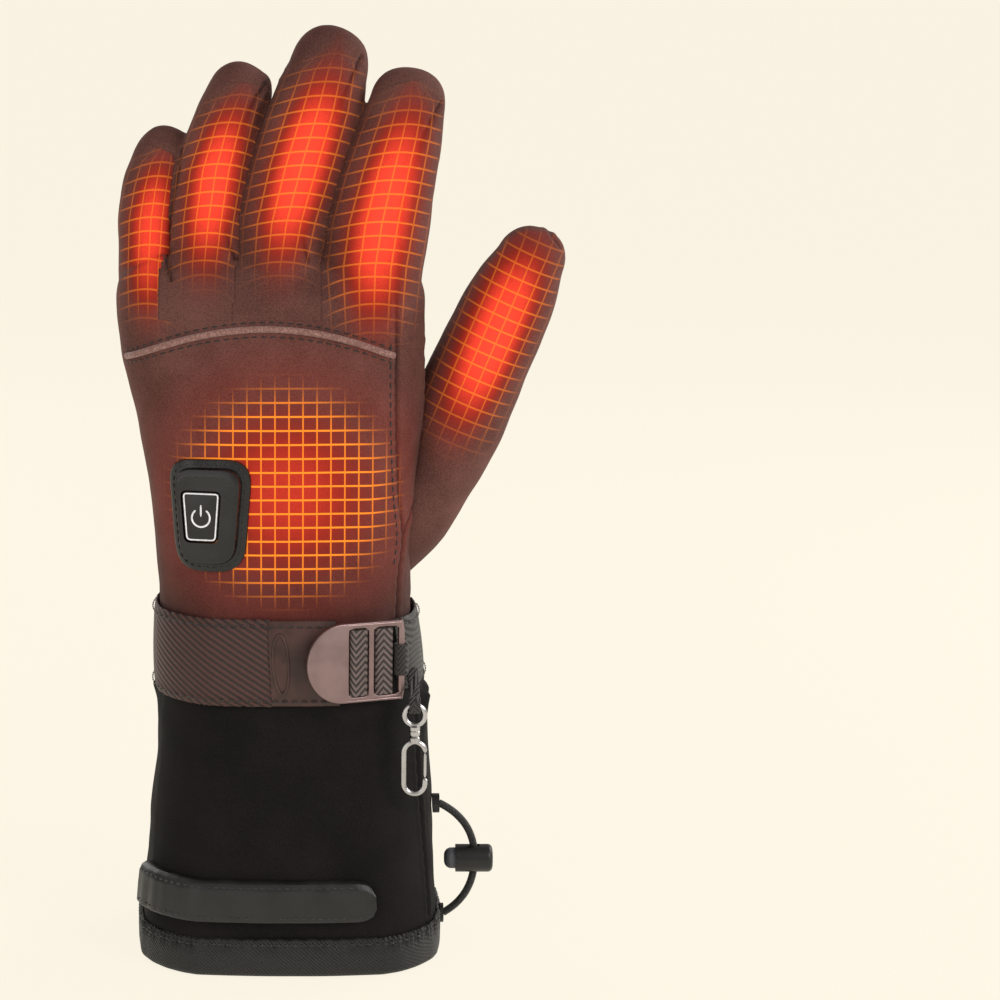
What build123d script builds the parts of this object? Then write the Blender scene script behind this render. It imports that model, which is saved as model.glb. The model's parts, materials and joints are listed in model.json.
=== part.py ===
from build123d import *
import os
from math import cos, pi, radians, sin, tan

# A battery-heated ski glove for the left hand, standing on its cuff with the fingers up.
# Millimetres. The origin is the centre of the cuff's mouth, on the surface it stands on.
# +Z runs up to the fingertips, +X to the thumb, -Y out of the back of the hand.

# Cloth layers, from the outside in: shell, heater gap, wadding with its lining.
SHELL = 1.0
HEATER_GAP = 0.6
HEATER = 0.3
PADDING = 3.8
FINGER_PADDING = 2.0
CLEAR = 0.3  # between soft pieces that must not touch
SEAM = 0.05  # between pieces sewn to each other

# Heights of the glove's stages.
HEM_TOP = 14.0
MID_CUFF = 65.0
CUFF_TOP = 108.0
WRIST = 118.5
HAND_BOTTOM = 129.0
MID_PALM = 150.0
UPPER_PALM = 182.0
HAND_TOP = 210.0
FINGER_BASE = 226.0

# Widths and depths of the rounded oblong cross-section at each stage.
HEM_WIDTH = 97.4
HEM_DEPTH = 79.0
MID_CUFF_WIDTH = 90.0
MID_CUFF_DEPTH = 70.0
WRIST_WIDTH = 82.8
WRIST_DEPTH = 60.0
PALM_WIDTH = 86.0
PALM_DEPTH = 57.0
KNUCKLE_WIDTH = 101.2
KNUCKLE_DEPTH = 49.0
ROUNDNESS = 0.88  # corner radius as a share of the half depth
HEM_ROUNDNESS = 0.72

CUFF_RINGS = [
    (0.0, 0.2, HEM_WIDTH / 2, HEM_DEPTH / 2, HEM_ROUNDNESS),
    (HEM_TOP, 0.2, HEM_WIDTH / 2, HEM_DEPTH / 2, HEM_ROUNDNESS),
    (MID_CUFF, 1.4, MID_CUFF_WIDTH / 2, MID_CUFF_DEPTH / 2, ROUNDNESS),
    (CUFF_TOP, -0.8, WRIST_WIDTH / 2, WRIST_DEPTH / 2, ROUNDNESS),
]
WRIST_RINGS = [
    CUFF_RINGS[-1],
    (WRIST, -1.2, WRIST_WIDTH / 2 - 0.4, WRIST_DEPTH / 2 - 0.8, ROUNDNESS),
    (HAND_BOTTOM, -1.5, PALM_WIDTH / 2 - 1.6, PALM_DEPTH / 2 + 0.1, ROUNDNESS),
]
BAND_RINGS = CUFF_RINGS[2:] + WRIST_RINGS[1:2]
HAND_RINGS = [
    WRIST_RINGS[-1],
    (MID_PALM, -1.8, PALM_WIDTH / 2, PALM_DEPTH / 2 - 0.5, ROUNDNESS),
    (UPPER_PALM, -3.3, PALM_WIDTH / 2 + 3.4, PALM_DEPTH / 2 - 2.0, ROUNDNESS),
    (HAND_TOP, -6.6, KNUCKLE_WIDTH / 2, KNUCKLE_DEPTH / 2, ROUNDNESS),
]

# Each finger: base centre x, y, tip x, y, z, radius at the base and at the tip.
FINGERS = {
    "little": (-46.3, 4.0, -40.5, 8.0, 268.6, 10.3, 9.4),
    "ring": (-24.2, -1.0, -14.0, 3.5, 287.6, 11.4, 10.3),
    "middle": (0.4, -3.5, 14.0, 2.0, 300.0, 12.7, 11.4),
    "index": (27.9, -4.5, 37.5, 0.0, 287.6, 13.9, 12.4),
}
THUMB_ROOT = Vector(PALM_WIDTH / 2 + 1, 8.0, MID_PALM)
THUMB_TIP = THUMB_ROOT + Vector(36.5, -3.0, 85.7)
THUMB_AXIS = (THUMB_TIP - THUMB_ROOT).normalized()
THUMB_ROOT_R = 9.0
THUMB_BASE_R = 15.8
THUMB_TIP_R = 12.2
THUMB_ROOT_DEPTH = 12.0  # how far the gusset starts behind the root
THUMB_GUSSET = 24.0  # distances along the thumb from its root
THUMB_BASE = 40.0

os.makedirs("parts", exist_ok=True)


def save(piece, name):
    """Label a finished piece and write it."""
    piece.label = name
    export_step(piece, f"parts/{name}.step")


def lofted(rings, grow=0.0):
    """A closed solid through rounded oblong rings, all grown by the same amount."""
    with BuildPart() as solid:
        for z, x, half_width, half_depth, roundness in rings:
            with BuildSketch(Plane((x, 0, z))):
                RectangleRounded(
                    2 * (half_width + grow),
                    2 * (half_depth + grow),
                    roundness * half_depth + grow,
                )
        loft(ruled=True)
    return solid.part


def skin(rings, inner, outer):
    """A layer of even thickness that follows the rings, between two amounts of growth."""
    with BuildPart() as layer:
        add(lofted(rings, outer))
        add(lofted(rings, inner), mode=Mode.SUBTRACT)
    return layer.part


def finger_solid(base, tip, base_r, tip_r, start=0.0, inset=0.0):
    """A tapered finger with a domed tip, turned about its own axis."""
    axis = (tip - base).normalized()
    side = Vector(axis.Z, 0, -axis.X).normalized()
    length = (tip - base).length
    dome = tip_r - inset
    start_r = base_r - inset + (tip_r - base_r) * start / (length - tip_r)
    with BuildPart() as solid:
        with BuildSketch(Plane(origin=base, x_dir=side, z_dir=side.cross(axis))):
            with BuildLine():
                Polyline(
                    (0, length - inset),
                    (0, start),
                    (start_r, start),
                    (dome, length - tip_r),
                )
                ThreePointArc(
                    (dome, length - tip_r),
                    (dome * cos(radians(45)), length - tip_r + dome * sin(radians(45))),
                    (0, length - inset),
                )
            make_face()
        revolve(axis=Axis(base, axis))
    return solid.part


def cone_solid(start, end, start_r, end_r):
    """A cone frustum along the thumb, between two distances from its root."""
    with BuildPart() as solid:
        with BuildSketch(Plane(THUMB_ROOT + THUMB_AXIS * start, z_dir=THUMB_AXIS)):
            Circle(start_r)
        with BuildSketch(Plane(THUMB_ROOT + THUMB_AXIS * end, z_dir=THUMB_AXIS)):
            Circle(end_r)
        loft(ruled=True)
    return solid.part


# ---------------------------------------------------------------- fingers and thumb
PAD_INSET = SHELL + HEATER_GAP
WALL = PAD_INSET + FINGER_PADDING
HEATER_INSET = SHELL + (HEATER_GAP - HEATER) / 2

digits = {}
for name, (x, y, tip_x, tip_y, tip_z, base_r, tip_r) in FINGERS.items():
    digits[name] = (Vector(x, y, FINGER_BASE), Vector(tip_x, tip_y, tip_z), base_r, tip_r)
digits["thumb"] = (
    THUMB_ROOT + THUMB_AXIS * THUMB_BASE,
    THUMB_TIP,
    THUMB_BASE_R,
    THUMB_TIP_R,
)

for name, (base, tip, base_r, tip_r) in digits.items():
    with BuildPart() as digit_shell:
        add(finger_solid(base, tip, base_r, tip_r))
        add(finger_solid(base, tip, base_r, tip_r, -1, SHELL), mode=Mode.SUBTRACT)
    save(digit_shell.part, f"{name}_shell")

    with BuildPart() as digit_lining:
        add(finger_solid(base, tip, base_r, tip_r, 0.5, PAD_INSET))
        add(finger_solid(base, tip, base_r, tip_r, -1, WALL), mode=Mode.SUBTRACT)
    save(digit_lining.part, f"{name}_lining")

    # The heating film wraps the back half of the finger, between shell and lining.
    with BuildPart() as digit_heater:
        add(finger_solid(base, tip, base_r, tip_r, 4, HEATER_INSET))
        add(finger_solid(base, tip, base_r, tip_r, 3, HEATER_INSET + HEATER), mode=Mode.SUBTRACT)
        with BuildSketch(Plane.XZ.offset(-(base.Y - 1))):
            with Locations((base.X, base.Z)):
                Rectangle(200, 200)
        extrude(amount=100, mode=Mode.INTERSECT)
    save(digit_heater.part, f"{name}_heater")

# Stretch knuckle sleeves bridge the fingers to the hand.
for name, (x, y, tip_x, tip_y, tip_z, base_r, tip_r) in FINGERS.items():
    base, tip = digits[name][:2]
    lean = (tip - base).normalized()
    drop = base_r * (1 - lean.Z**2) ** 0.5
    with BuildPart() as knuckle_sleeve:
        with BuildSketch(Plane((x, y, HAND_TOP + SEAM))):
            Circle(base_r)
            Circle(base_r - WALL, mode=Mode.SUBTRACT)
        extrude(amount=FINGER_BASE - HAND_TOP - drop - CLEAR)
    save(knuckle_sleeve.part, f"{name}_knuckle_sleeve")

with BuildPart() as thumb_sleeve:
    add(cone_solid(THUMB_GUSSET + CLEAR, THUMB_BASE - CLEAR, THUMB_BASE_R, THUMB_BASE_R))
    add(
        cone_solid(THUMB_GUSSET, THUMB_BASE, THUMB_BASE_R - WALL, THUMB_BASE_R - WALL),
        mode=Mode.SUBTRACT,
    )
    add(lofted(HAND_RINGS, CLEAR), mode=Mode.SUBTRACT)
save(thumb_sleeve.part, "thumb_knuckle_sleeve")

# ---------------------------------------------------------------- control unit
# A push key under a stitched patch on the back of the hand, over a small sealed module.
CONTROL_Z = 149.0
CONTROL_TILT = 12.0  # turn of the unit towards the little finger, in degrees
PATCH_TOP = 27.5
PATCH_BOTTOM = 22.5
PATCH_HEIGHT = 36.0
PATCH_THICK = 1.1
PAD_MARGIN = 2.6
PAD_PROUD = 2.7
KEY_WIDTH = 12.8
KEY_FOOT = 10.4
KEY_HEIGHT = 16.3
KEY_TRAVEL = 0.8
KEY_CLEAR = 0.25
KEY_SHIFT = -2.0  # the key sits towards the little finger on the pad
KEY_HOLE_FLOOR = -3.4
MODULE_WIDTH = 16.0
MODULE_HEIGHT = 20.0
MODULE_WALL = 0.6
MODULE_TOP = -2.8  # below the cloth's outer surface
MODULE_FLOOR = -5.3
BOARD = 0.6

control_side = radians(CONTROL_TILT)
control_normal = Vector(-sin(control_side), -cos(control_side), 0)
control_along = Vector(cos(control_side), -sin(control_side), 0)
mid_ring = HAND_RINGS[1]
corner_r = mid_ring[4] * mid_ring[3]
CONTROL_ORIGIN = Vector(
    mid_ring[1] - mid_ring[2] + corner_r - corner_r * sin(control_side),
    -mid_ring[3] + corner_r - corner_r * cos(control_side),
    CONTROL_Z,
)
control_plane = Plane(CONTROL_ORIGIN, x_dir=control_along, z_dir=control_normal)


def trapezoid_prism(top, bottom, height, corner, low, high, shift=0.0):
    """A rounded trapezoid, wider at the top, as a prism across the control plane."""
    with BuildPart() as prism:
        with BuildSketch(control_plane.offset(low).move(Location(control_along * shift))) as outline:
            with BuildLine():
                Polyline(
                    (-top / 2, height / 2),
                    (top / 2, height / 2),
                    (bottom / 2, -height / 2),
                    (-bottom / 2, -height / 2),
                    close=True,
                )
            make_face()
            fillet(outline.vertices(), corner)
        extrude(amount=high - low)
    return prism.part


def patch_prism(margin, low, high):
    """The patch's outline less a margin all round."""
    change = 2 * margin
    return trapezoid_prism(
        PATCH_TOP - change, PATCH_BOTTOM - change, PATCH_HEIGHT - change, 3.0, low, high
    )


def key_prism(clearance, low, high):
    """The key's outline with a clearance all round."""
    change = 2 * clearance
    return trapezoid_prism(
        KEY_WIDTH + change, KEY_FOOT + change, KEY_HEIGHT + change, 1.5, low, high, KEY_SHIFT
    )


def module_box(margin, low, high):
    """A box in line with the control module, with a margin all round."""
    with BuildPart() as box:
        with BuildSketch(control_plane.offset(low)):
            Rectangle(MODULE_WIDTH + 2 * margin, MODULE_HEIGHT + 2 * margin)
        extrude(amount=high - low)
    return box.part


key_hole = key_prism(KEY_CLEAR, KEY_HOLE_FLOOR, 2 * PAD_PROUD)

with BuildPart() as control_patch:
    add(skin(HAND_RINGS, SEAM, PATCH_THICK))
    add(patch_prism(0, -12, 12), mode=Mode.INTERSECT)
    add(key_hole, mode=Mode.SUBTRACT)
save(control_patch.part, "control_patch")

with BuildPart() as control_pad:
    add(patch_prism(PAD_MARGIN, -8, PAD_PROUD))
    add(lofted(HAND_RINGS, PATCH_THICK + SEAM), mode=Mode.SUBTRACT)
    add(key_hole, mode=Mode.SUBTRACT)
save(control_pad.part, "control_pad")

with BuildPart() as power_button:
    add(key_prism(0, MODULE_TOP + KEY_TRAVEL, PAD_PROUD - 0.2))
save(power_button.part, "power_button")

with BuildPart() as control_housing:
    add(module_box(0, MODULE_FLOOR, MODULE_TOP))
    add(module_box(-MODULE_WALL, MODULE_FLOOR + MODULE_WALL, 0), mode=Mode.SUBTRACT)
save(control_housing.part, "control_housing")

board_low = MODULE_FLOOR + MODULE_WALL + SEAM
with BuildPart() as control_board:
    add(module_box(-MODULE_WALL - 0.2, board_low, board_low + BOARD))
save(control_board.part, "control_board")

switch_low = board_low + BOARD + SEAM
SWITCH_TOP = MODULE_TOP - 0.15
with BuildPart() as tact_switch:
    with BuildSketch(control_plane.offset(switch_low)):
        Rectangle(4.5, 4.5)
    extrude(amount=(SWITCH_TOP - switch_low) / 2)
    with BuildSketch(control_plane.offset((SWITCH_TOP + switch_low) / 2)):
        Circle(1.6)
    extrude(amount=(SWITCH_TOP - switch_low) / 2)
save(tact_switch.part, "tact_switch")

# ---------------------------------------------------------------- hand
SIDE_SEAM_X = 34.0
PIPING = 2.0
PIPING_PROUD = 1.5
ARC_LEFT = (-52.0, 197.3)
ARC_MIDDLE = (-17.9, 206.8)
ARC_RIGHT = (SIDE_SEAM_X, 198.5)
REACH = 100.0  # further than any cross-section

HEATED_X = -5.0  # middle of the knuckle heater
HEATED_Z = 185.0
HEATED_WIDTH = 64.0
HEATED_HEIGHT = 28.0
GRIP_THICK = 0.9
GRIP_PEAK = (-3.0, 208.0)
GRIP_LEFT = (-40.0, 200.0)
GRIP_RIGHT = (34.0, 200.0)
GRIP_FOOT = [(-41.0, 133.0), (-20.0, 130.0), (8.0, 130.0), (30.0, 142.0)]

hand_solid = lofted(HAND_RINGS)


def finger_holes(inset, z_from, z_to):
    """The four holes in the hand's top that the finger cavities open through."""
    with BuildPart() as holes:
        with BuildSketch(Plane.XY.offset(z_from)):
            for x, y, _, _, _, base_r, _ in FINGERS.values():
                with Locations((x, y)):
                    Circle(base_r - inset)
        extrude(amount=z_to - z_from)
    return holes.part


def slab(z_from, z_to):
    """Everything between two heights."""
    with BuildPart() as block:
        with BuildSketch(Plane.XY.offset(z_from)):
            Rectangle(4 * REACH, 4 * REACH)
        extrude(amount=z_to - z_from)
    return block.part


with BuildPart() as hand_cavity:
    add(lofted(HAND_RINGS, -SHELL))
    add(slab(HAND_BOTTOM, HAND_TOP - SHELL), mode=Mode.INTERSECT)

thumb_bore = cone_solid(
    -THUMB_ROOT_DEPTH, THUMB_GUSSET, THUMB_ROOT_R - FINGER_PADDING, THUMB_BASE_R - WALL
)

with BuildPart() as hand_wall:
    add(hand_solid)
    add(hand_cavity.part, mode=Mode.SUBTRACT)
    add(finger_holes(WALL, HAND_TOP - 5, HAND_TOP + 5), mode=Mode.SUBTRACT)
    add(thumb_bore, mode=Mode.SUBTRACT)
    add(key_hole, mode=Mode.SUBTRACT)

with BuildPart() as below_arc:
    with BuildSketch(Plane.XZ):
        with BuildLine():
            ThreePointArc(ARC_LEFT, ARC_MIDDLE, ARC_RIGHT)
            Polyline(
                ARC_RIGHT,
                (ARC_RIGHT[0], HAND_BOTTOM - 10),
                (-REACH, HAND_BOTTOM - 10),
                (-REACH, ARC_LEFT[1]),
                ARC_LEFT,
            )
        make_face()
    extrude(amount=REACH)

with BuildPart() as inside_seam:
    with BuildSketch(Plane.XZ):
        with Locations((SIDE_SEAM_X - REACH, MID_PALM)):
            Rectangle(2 * REACH, 2 * REACH)
    extrude(amount=REACH)

with BuildPart() as back_panel:
    add(hand_wall.part)
    add(below_arc.part, mode=Mode.INTERSECT)
save(back_panel.part, "back_panel")

with BuildPart() as knuckle_yoke:
    add(hand_wall.part)
    add(inside_seam.part, mode=Mode.INTERSECT)
    add(below_arc.part, mode=Mode.SUBTRACT)
save(knuckle_yoke.part, "knuckle_yoke")

with BuildPart() as index_side_panel:
    add(hand_wall.part)
    split(bisect_by=Plane.XZ, keep=Keep.TOP)
    add(inside_seam.part, mode=Mode.SUBTRACT)
save(index_side_panel.part, "index_side_panel")

with BuildPart() as palm_panel:
    add(hand_wall.part)
    split(bisect_by=Plane.XZ, keep=Keep.BOTTOM)
save(palm_panel.part, "palm_panel")

with BuildPart() as thumb_gusset:
    add(cone_solid(-THUMB_ROOT_DEPTH, THUMB_GUSSET, THUMB_ROOT_R, THUMB_BASE_R))
    add(thumb_bore, mode=Mode.SUBTRACT)
    add(lofted(HAND_RINGS, SEAM), mode=Mode.SUBTRACT)
save(thumb_gusset.part, "thumb_gusset")

with BuildPart() as lining_outer:
    add(lofted(HAND_RINGS, -PAD_INSET))
    add(slab(HAND_BOTTOM, HAND_TOP - PAD_INSET), mode=Mode.INTERSECT)

with BuildPart() as lining_inner:
    add(lofted(HAND_RINGS, -PAD_INSET - PADDING))
    add(slab(HAND_BOTTOM, HAND_TOP - PAD_INSET - PADDING), mode=Mode.INTERSECT)

with BuildPart() as hand_lining:
    add(lining_outer.part)
    add(lining_inner.part, mode=Mode.SUBTRACT)
    add(finger_holes(WALL, HAND_TOP - 9, HAND_TOP + 5), mode=Mode.SUBTRACT)
    add(thumb_bore, mode=Mode.SUBTRACT)
    add(module_box(CLEAR, MODULE_FLOOR - SEAM, 0), mode=Mode.SUBTRACT)
save(hand_lining.part, "hand_lining")

# Heating film over the knuckles, between shell and lining.
with BuildPart() as hand_heaters:
    add(skin(HAND_RINGS, -HEATER_INSET - HEATER, -HEATER_INSET))
    with BuildSketch(Plane.XZ):
        with Locations((HEATED_X, HEATED_Z)):
            Rectangle(HEATED_WIDTH, HEATED_HEIGHT)
    extrude(amount=REACH, mode=Mode.INTERSECT)
save(hand_heaters.part, "hand_heater")

with BuildPart() as palm_patch:
    add(skin(HAND_RINGS, SEAM, SEAM + GRIP_THICK))
    with BuildSketch(Plane.XZ):
        with BuildLine():
            Polyline(GRIP_LEFT, *GRIP_FOOT, GRIP_RIGHT)
            ThreePointArc(GRIP_RIGHT, GRIP_PEAK, GRIP_LEFT)
        make_face()
    extrude(amount=-REACH, mode=Mode.INTERSECT)
save(palm_patch.part, "palm_patch")

# Light piping cord along the curved seam under the knuckles.
with BuildPart() as piping:
    add(skin(HAND_RINGS, SEAM, PIPING_PROUD))
    with BuildSketch(Plane.XZ):
        with BuildLine():
            for side in (-PIPING / 2, PIPING / 2):
                ThreePointArc(
                    (ARC_LEFT[0], ARC_LEFT[1] + side),
                    (ARC_MIDDLE[0], ARC_MIDDLE[1] + side),
                    (ARC_RIGHT[0], ARC_RIGHT[1] + side),
                )
            for x, z in (ARC_LEFT, ARC_RIGHT):
                Line((x, z - PIPING / 2), (x, z + PIPING / 2))
        make_face()
    extrude(amount=REACH, mode=Mode.INTERSECT)
save(piping.part, "piping")

# ---------------------------------------------------------------- wrist
def ring_layers(rings, z_from, z_to):
    """Shell and padding layers round the arm between two heights, with the gap between."""
    with BuildPart() as layers:
        add(skin(rings, -SHELL, 0))
        add(skin(rings, -PAD_INSET - PADDING, -PAD_INSET))
        add(slab(z_from, z_to), mode=Mode.INTERSECT)
    return layers.part


wrist_sleeve = ring_layers(WRIST_RINGS, CUFF_TOP + SEAM, HAND_BOTTOM - SEAM)
save(wrist_sleeve, "wrist_sleeve")

BAND_TOP = 116.0
BAND_BOTTOM = 88.0
BAND_THICK = 2.2
BAND_END_X = -6.0
TAB_THICK = 2.6
TAB_END_X = 14.5
ANCHOR_X = 33.0
ANCHOR_TOP = 114.0
ANCHOR_BOTTOM = 91.0
STRAP_SEAM_Y = 9.0  # the straps end in the side seams, a little towards the palm


def band_piece(thick, x_from, x_to, z_from, z_to, y_to):
    """A piece of webbing that follows the wrist inside a box."""
    with BuildPart() as webbing:
        add(skin(BAND_RINGS, SEAM, thick))
        with BuildSketch(Plane((0, y_to, 0), x_dir=(1, 0, 0), z_dir=(0, -1, 0))):
            with Locations(((x_from + x_to) / 2, (z_from + z_to) / 2)):
                Rectangle(x_to - x_from, z_to - z_from)
        extrude(amount=REACH, mode=Mode.INTERSECT)
    return webbing.part


save(
    band_piece(BAND_THICK, -REACH, BAND_END_X, BAND_BOTTOM, BAND_TOP, STRAP_SEAM_Y),
    "wrist_band",
)
save(
    band_piece(TAB_THICK, BAND_END_X + SEAM, TAB_END_X, BAND_BOTTOM, BAND_TOP, 0),
    "strap_tab",
)

# Elastic that gathers the palm side of the wrist, inside the gap between the layers.
ELASTIC_Z = 98.0
ELASTIC_WIDTH = 8.0
ELASTIC_START_Y = 6.0
with BuildPart() as wrist_elastic:
    add(skin(CUFF_RINGS, -HEATER_INSET - HEATER, -HEATER_INSET))
    with BuildSketch(Plane.XZ):
        with Locations((0, ELASTIC_Z)):
            Rectangle(2 * REACH, ELASTIC_WIDTH)
    extrude(amount=-REACH, mode=Mode.INTERSECT)
    split(bisect_by=Plane.XZ.offset(-ELASTIC_START_Y), keep=Keep.BOTTOM)
save(wrist_elastic.part, "wrist_elastic")

# Ladder buckle: a half-moon lift plate and a frame that turns about its outer bar.
BUCKLE_TILT = 18.0
BUCKLE_X = 20.5
BUCKLE_Z = 103.0
BUCKLE_HEIGHT = 26.0
BUCKLE_THICK = 1.8
BUCKLE_STANDOFF = 1.6  # from the cuff's front at the buckle's foot to the buckle's back
PLATE_REACH = 16.0
PLATE_EDGE = -4.0
BAR_U = 15.6
BAR_R = 1.1
RAIL = 2.0
MIDDLE_BAR_U = 5.4
BAR_CLEAR = 0.3
WEB_THICK = 1.0



def cuff_front(height):
    """How far the cuff's front stands from its middle, between the middle and top rings."""
    share = (height - MID_CUFF) / (CUFF_TOP - MID_CUFF)
    return (MID_CUFF_DEPTH + share * (WRIST_DEPTH - MID_CUFF_DEPTH)) / 2


buckle_angle = radians(BUCKLE_TILT)
buckle_y = -cuff_front(BUCKLE_Z - BUCKLE_HEIGHT / 2) - BUCKLE_STANDOFF
buckle_plane = Plane(
    (BUCKLE_X, buckle_y, BUCKLE_Z),
    x_dir=(cos(buckle_angle), sin(buckle_angle), 0),
    z_dir=(sin(buckle_angle), -cos(buckle_angle), 0),
)
bar_centre = buckle_plane.from_local_coords(Vector(BAR_U, 0, BUCKLE_THICK / 2))
half_height = BUCKLE_HEIGHT / 2
window_top = BUCKLE_HEIGHT - 2 * RAIL

with BuildPart() as buckle_frame:
    with BuildSketch(buckle_plane):
        with BuildLine():
            ThreePointArc(
                (PLATE_EDGE, half_height), (-PLATE_REACH, 0), (PLATE_EDGE, -half_height)
            )
            Line((PLATE_EDGE, -half_height), (PLATE_EDGE, half_height))
        make_face()
        with Locations(((PLATE_EDGE + BAR_U) / 2, 0)):
            Rectangle(BAR_U - PLATE_EDGE, BUCKLE_HEIGHT)
        left = PLATE_EDGE + RAIL
        for low, high in ((left, MIDDLE_BAR_U - RAIL / 2), (MIDDLE_BAR_U + RAIL / 2, BAR_U)):
            with Locations(((low + high) / 2, 0)):
                Rectangle(high - low, window_top, mode=Mode.SUBTRACT)
    extrude(amount=BUCKLE_THICK)
    with BuildSketch(Plane(bar_centre - Vector(0, 0, half_height))):
        Circle(BAR_R)
    extrude(amount=BUCKLE_HEIGHT)
save(buckle_frame.part, "buckle_frame")

# Webbing folded over the buckle's middle bar, in two ridges.
FOLD_CLEAR = 0.25
FOLD_BACK = -0.9
FOLD_PROUD = 2.5
with BuildPart() as strap_fold:
    fold_left = left + FOLD_CLEAR
    fold_right = BAR_U - BAR_R - WEB_THICK - 3 * BAR_CLEAR
    fold_height = window_top - 2 * FOLD_CLEAR
    with BuildSketch(buckle_plane.offset(FOLD_BACK)):
        for low, high in (
            (fold_left, MIDDLE_BAR_U - RAIL / 2 - FOLD_CLEAR),
            (MIDDLE_BAR_U + RAIL / 2 + FOLD_CLEAR, fold_right),
        ):
            with Locations(((low + high) / 2, 0)):
                Rectangle(high - low, fold_height)
    extrude(amount=FOLD_PROUD - FOLD_BACK)
    with BuildSketch(buckle_plane.offset(FOLD_BACK)):
        with Locations(((fold_left + fold_right) / 2, 0)):
            Rectangle(fold_right - fold_left, fold_height)
    extrude(amount=-FOLD_BACK - FOLD_CLEAR)
save(strap_fold.part, "strap_fold")

# The anchor strap is sewn round the thumb side of the wrist and loops over the outer bar.
LOOP_HALF = 5.0
LOOP_R = BAR_R + BAR_CLEAR
STRIP_TURN = 76.0
STRIP_LENGTH = 12.0
strip_way = Vector(cos(radians(STRIP_TURN)), sin(radians(STRIP_TURN)), 0)
strip_centre = bar_centre + strip_way * (LOOP_R + STRIP_LENGTH / 2)
with BuildPart() as anchor_strap:
    with BuildSketch(Plane((0, 0, BUCKLE_Z - LOOP_HALF))):
        with Locations((bar_centre.X, bar_centre.Y)):
            Circle(LOOP_R + WEB_THICK)
        with Locations(Location((strip_centre.X, strip_centre.Y, 0), (0, 0, STRIP_TURN))):
            Rectangle(STRIP_LENGTH, WEB_THICK)
        with Locations((bar_centre.X, bar_centre.Y)):
            Circle(LOOP_R, mode=Mode.SUBTRACT)
    extrude(amount=2 * LOOP_HALF)
    add(lofted(BAND_RINGS, BAND_THICK / 2), mode=Mode.SUBTRACT)
    add(band_piece(BAND_THICK, ANCHOR_X, REACH, ANCHOR_BOTTOM, ANCHOR_TOP, STRAP_SEAM_Y))
save(anchor_strap.part, "anchor_strap")

# ---------------------------------------------------------------- hook for pairing gloves
HOOK_X = 39.8
HOOK_Y = -36.0
RING_TOP_Z = 89.5
RING_WIRE_R = 0.8
RING_R = 3.3  # to the middle of the wire
HOOK_LOOP_R = 1.7
HOOK_LOOP_HALF = 1.8
TAIL_LENGTH = 20.0  # of the loop's tail, from the ring back to the wrist strap
TAIL_TURN = 22.0
TAIL_Y = 9.4
TAIL_Z = 3.6
HOOK_THICK = 1.8
HOOK_LENGTH = 18.6
HOOK_WIDTH = 8.3
HOOK_WIRE = 1.5
SWIVEL_GAP = 0.15
SWIVEL_R = 1.7
PIN_R = 0.8
ring_centre_z = RING_TOP_Z - RING_R
swivel_top = ring_centre_z - RING_R
swivel_bottom = swivel_top - 3.4

with BuildPart() as hook_loop:
    with BuildSketch(Plane((HOOK_X - HOOK_LOOP_HALF, 0, 0), x_dir=(0, 1, 0), z_dir=(1, 0, 0))):
        with Locations((HOOK_Y, RING_TOP_Z)):
            Circle(HOOK_LOOP_R + WEB_THICK)
        with Locations(Location((HOOK_Y + TAIL_Y, RING_TOP_Z + TAIL_Z, 0), (0, 0, TAIL_TURN))):
            Rectangle(TAIL_LENGTH, WEB_THICK)
        with Locations((HOOK_Y, RING_TOP_Z)):
            Circle(HOOK_LOOP_R, mode=Mode.SUBTRACT)
    extrude(amount=2 * HOOK_LOOP_HALF)
    add(lofted(BAND_RINGS, BAND_THICK + SEAM), mode=Mode.SUBTRACT)
save(hook_loop.part, "hook_loop")

with BuildPart() as swivel_ring:
    with BuildSketch(Plane((HOOK_X, HOOK_Y, ring_centre_z), x_dir=(1, 0, 0), z_dir=(0, 0, 1))):
        with Locations((RING_R, 0)):
            Circle(RING_WIRE_R)
    revolve(axis=Axis((HOOK_X, HOOK_Y, ring_centre_z), (0, 1, 0)))
    with BuildSketch(Plane((HOOK_X, HOOK_Y, swivel_bottom))):
        Circle(SWIVEL_R)
        Circle(PIN_R + SWIVEL_GAP, mode=Mode.SUBTRACT)
    extrude(amount=swivel_top - swivel_bottom)
    with BuildSketch(Plane((HOOK_X, HOOK_Y, swivel_top - 1.0))):
        Circle(PIN_R + 2 * SWIVEL_GAP)
    extrude(amount=1.0)
save(swivel_ring.part, "swivel_ring")

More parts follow.
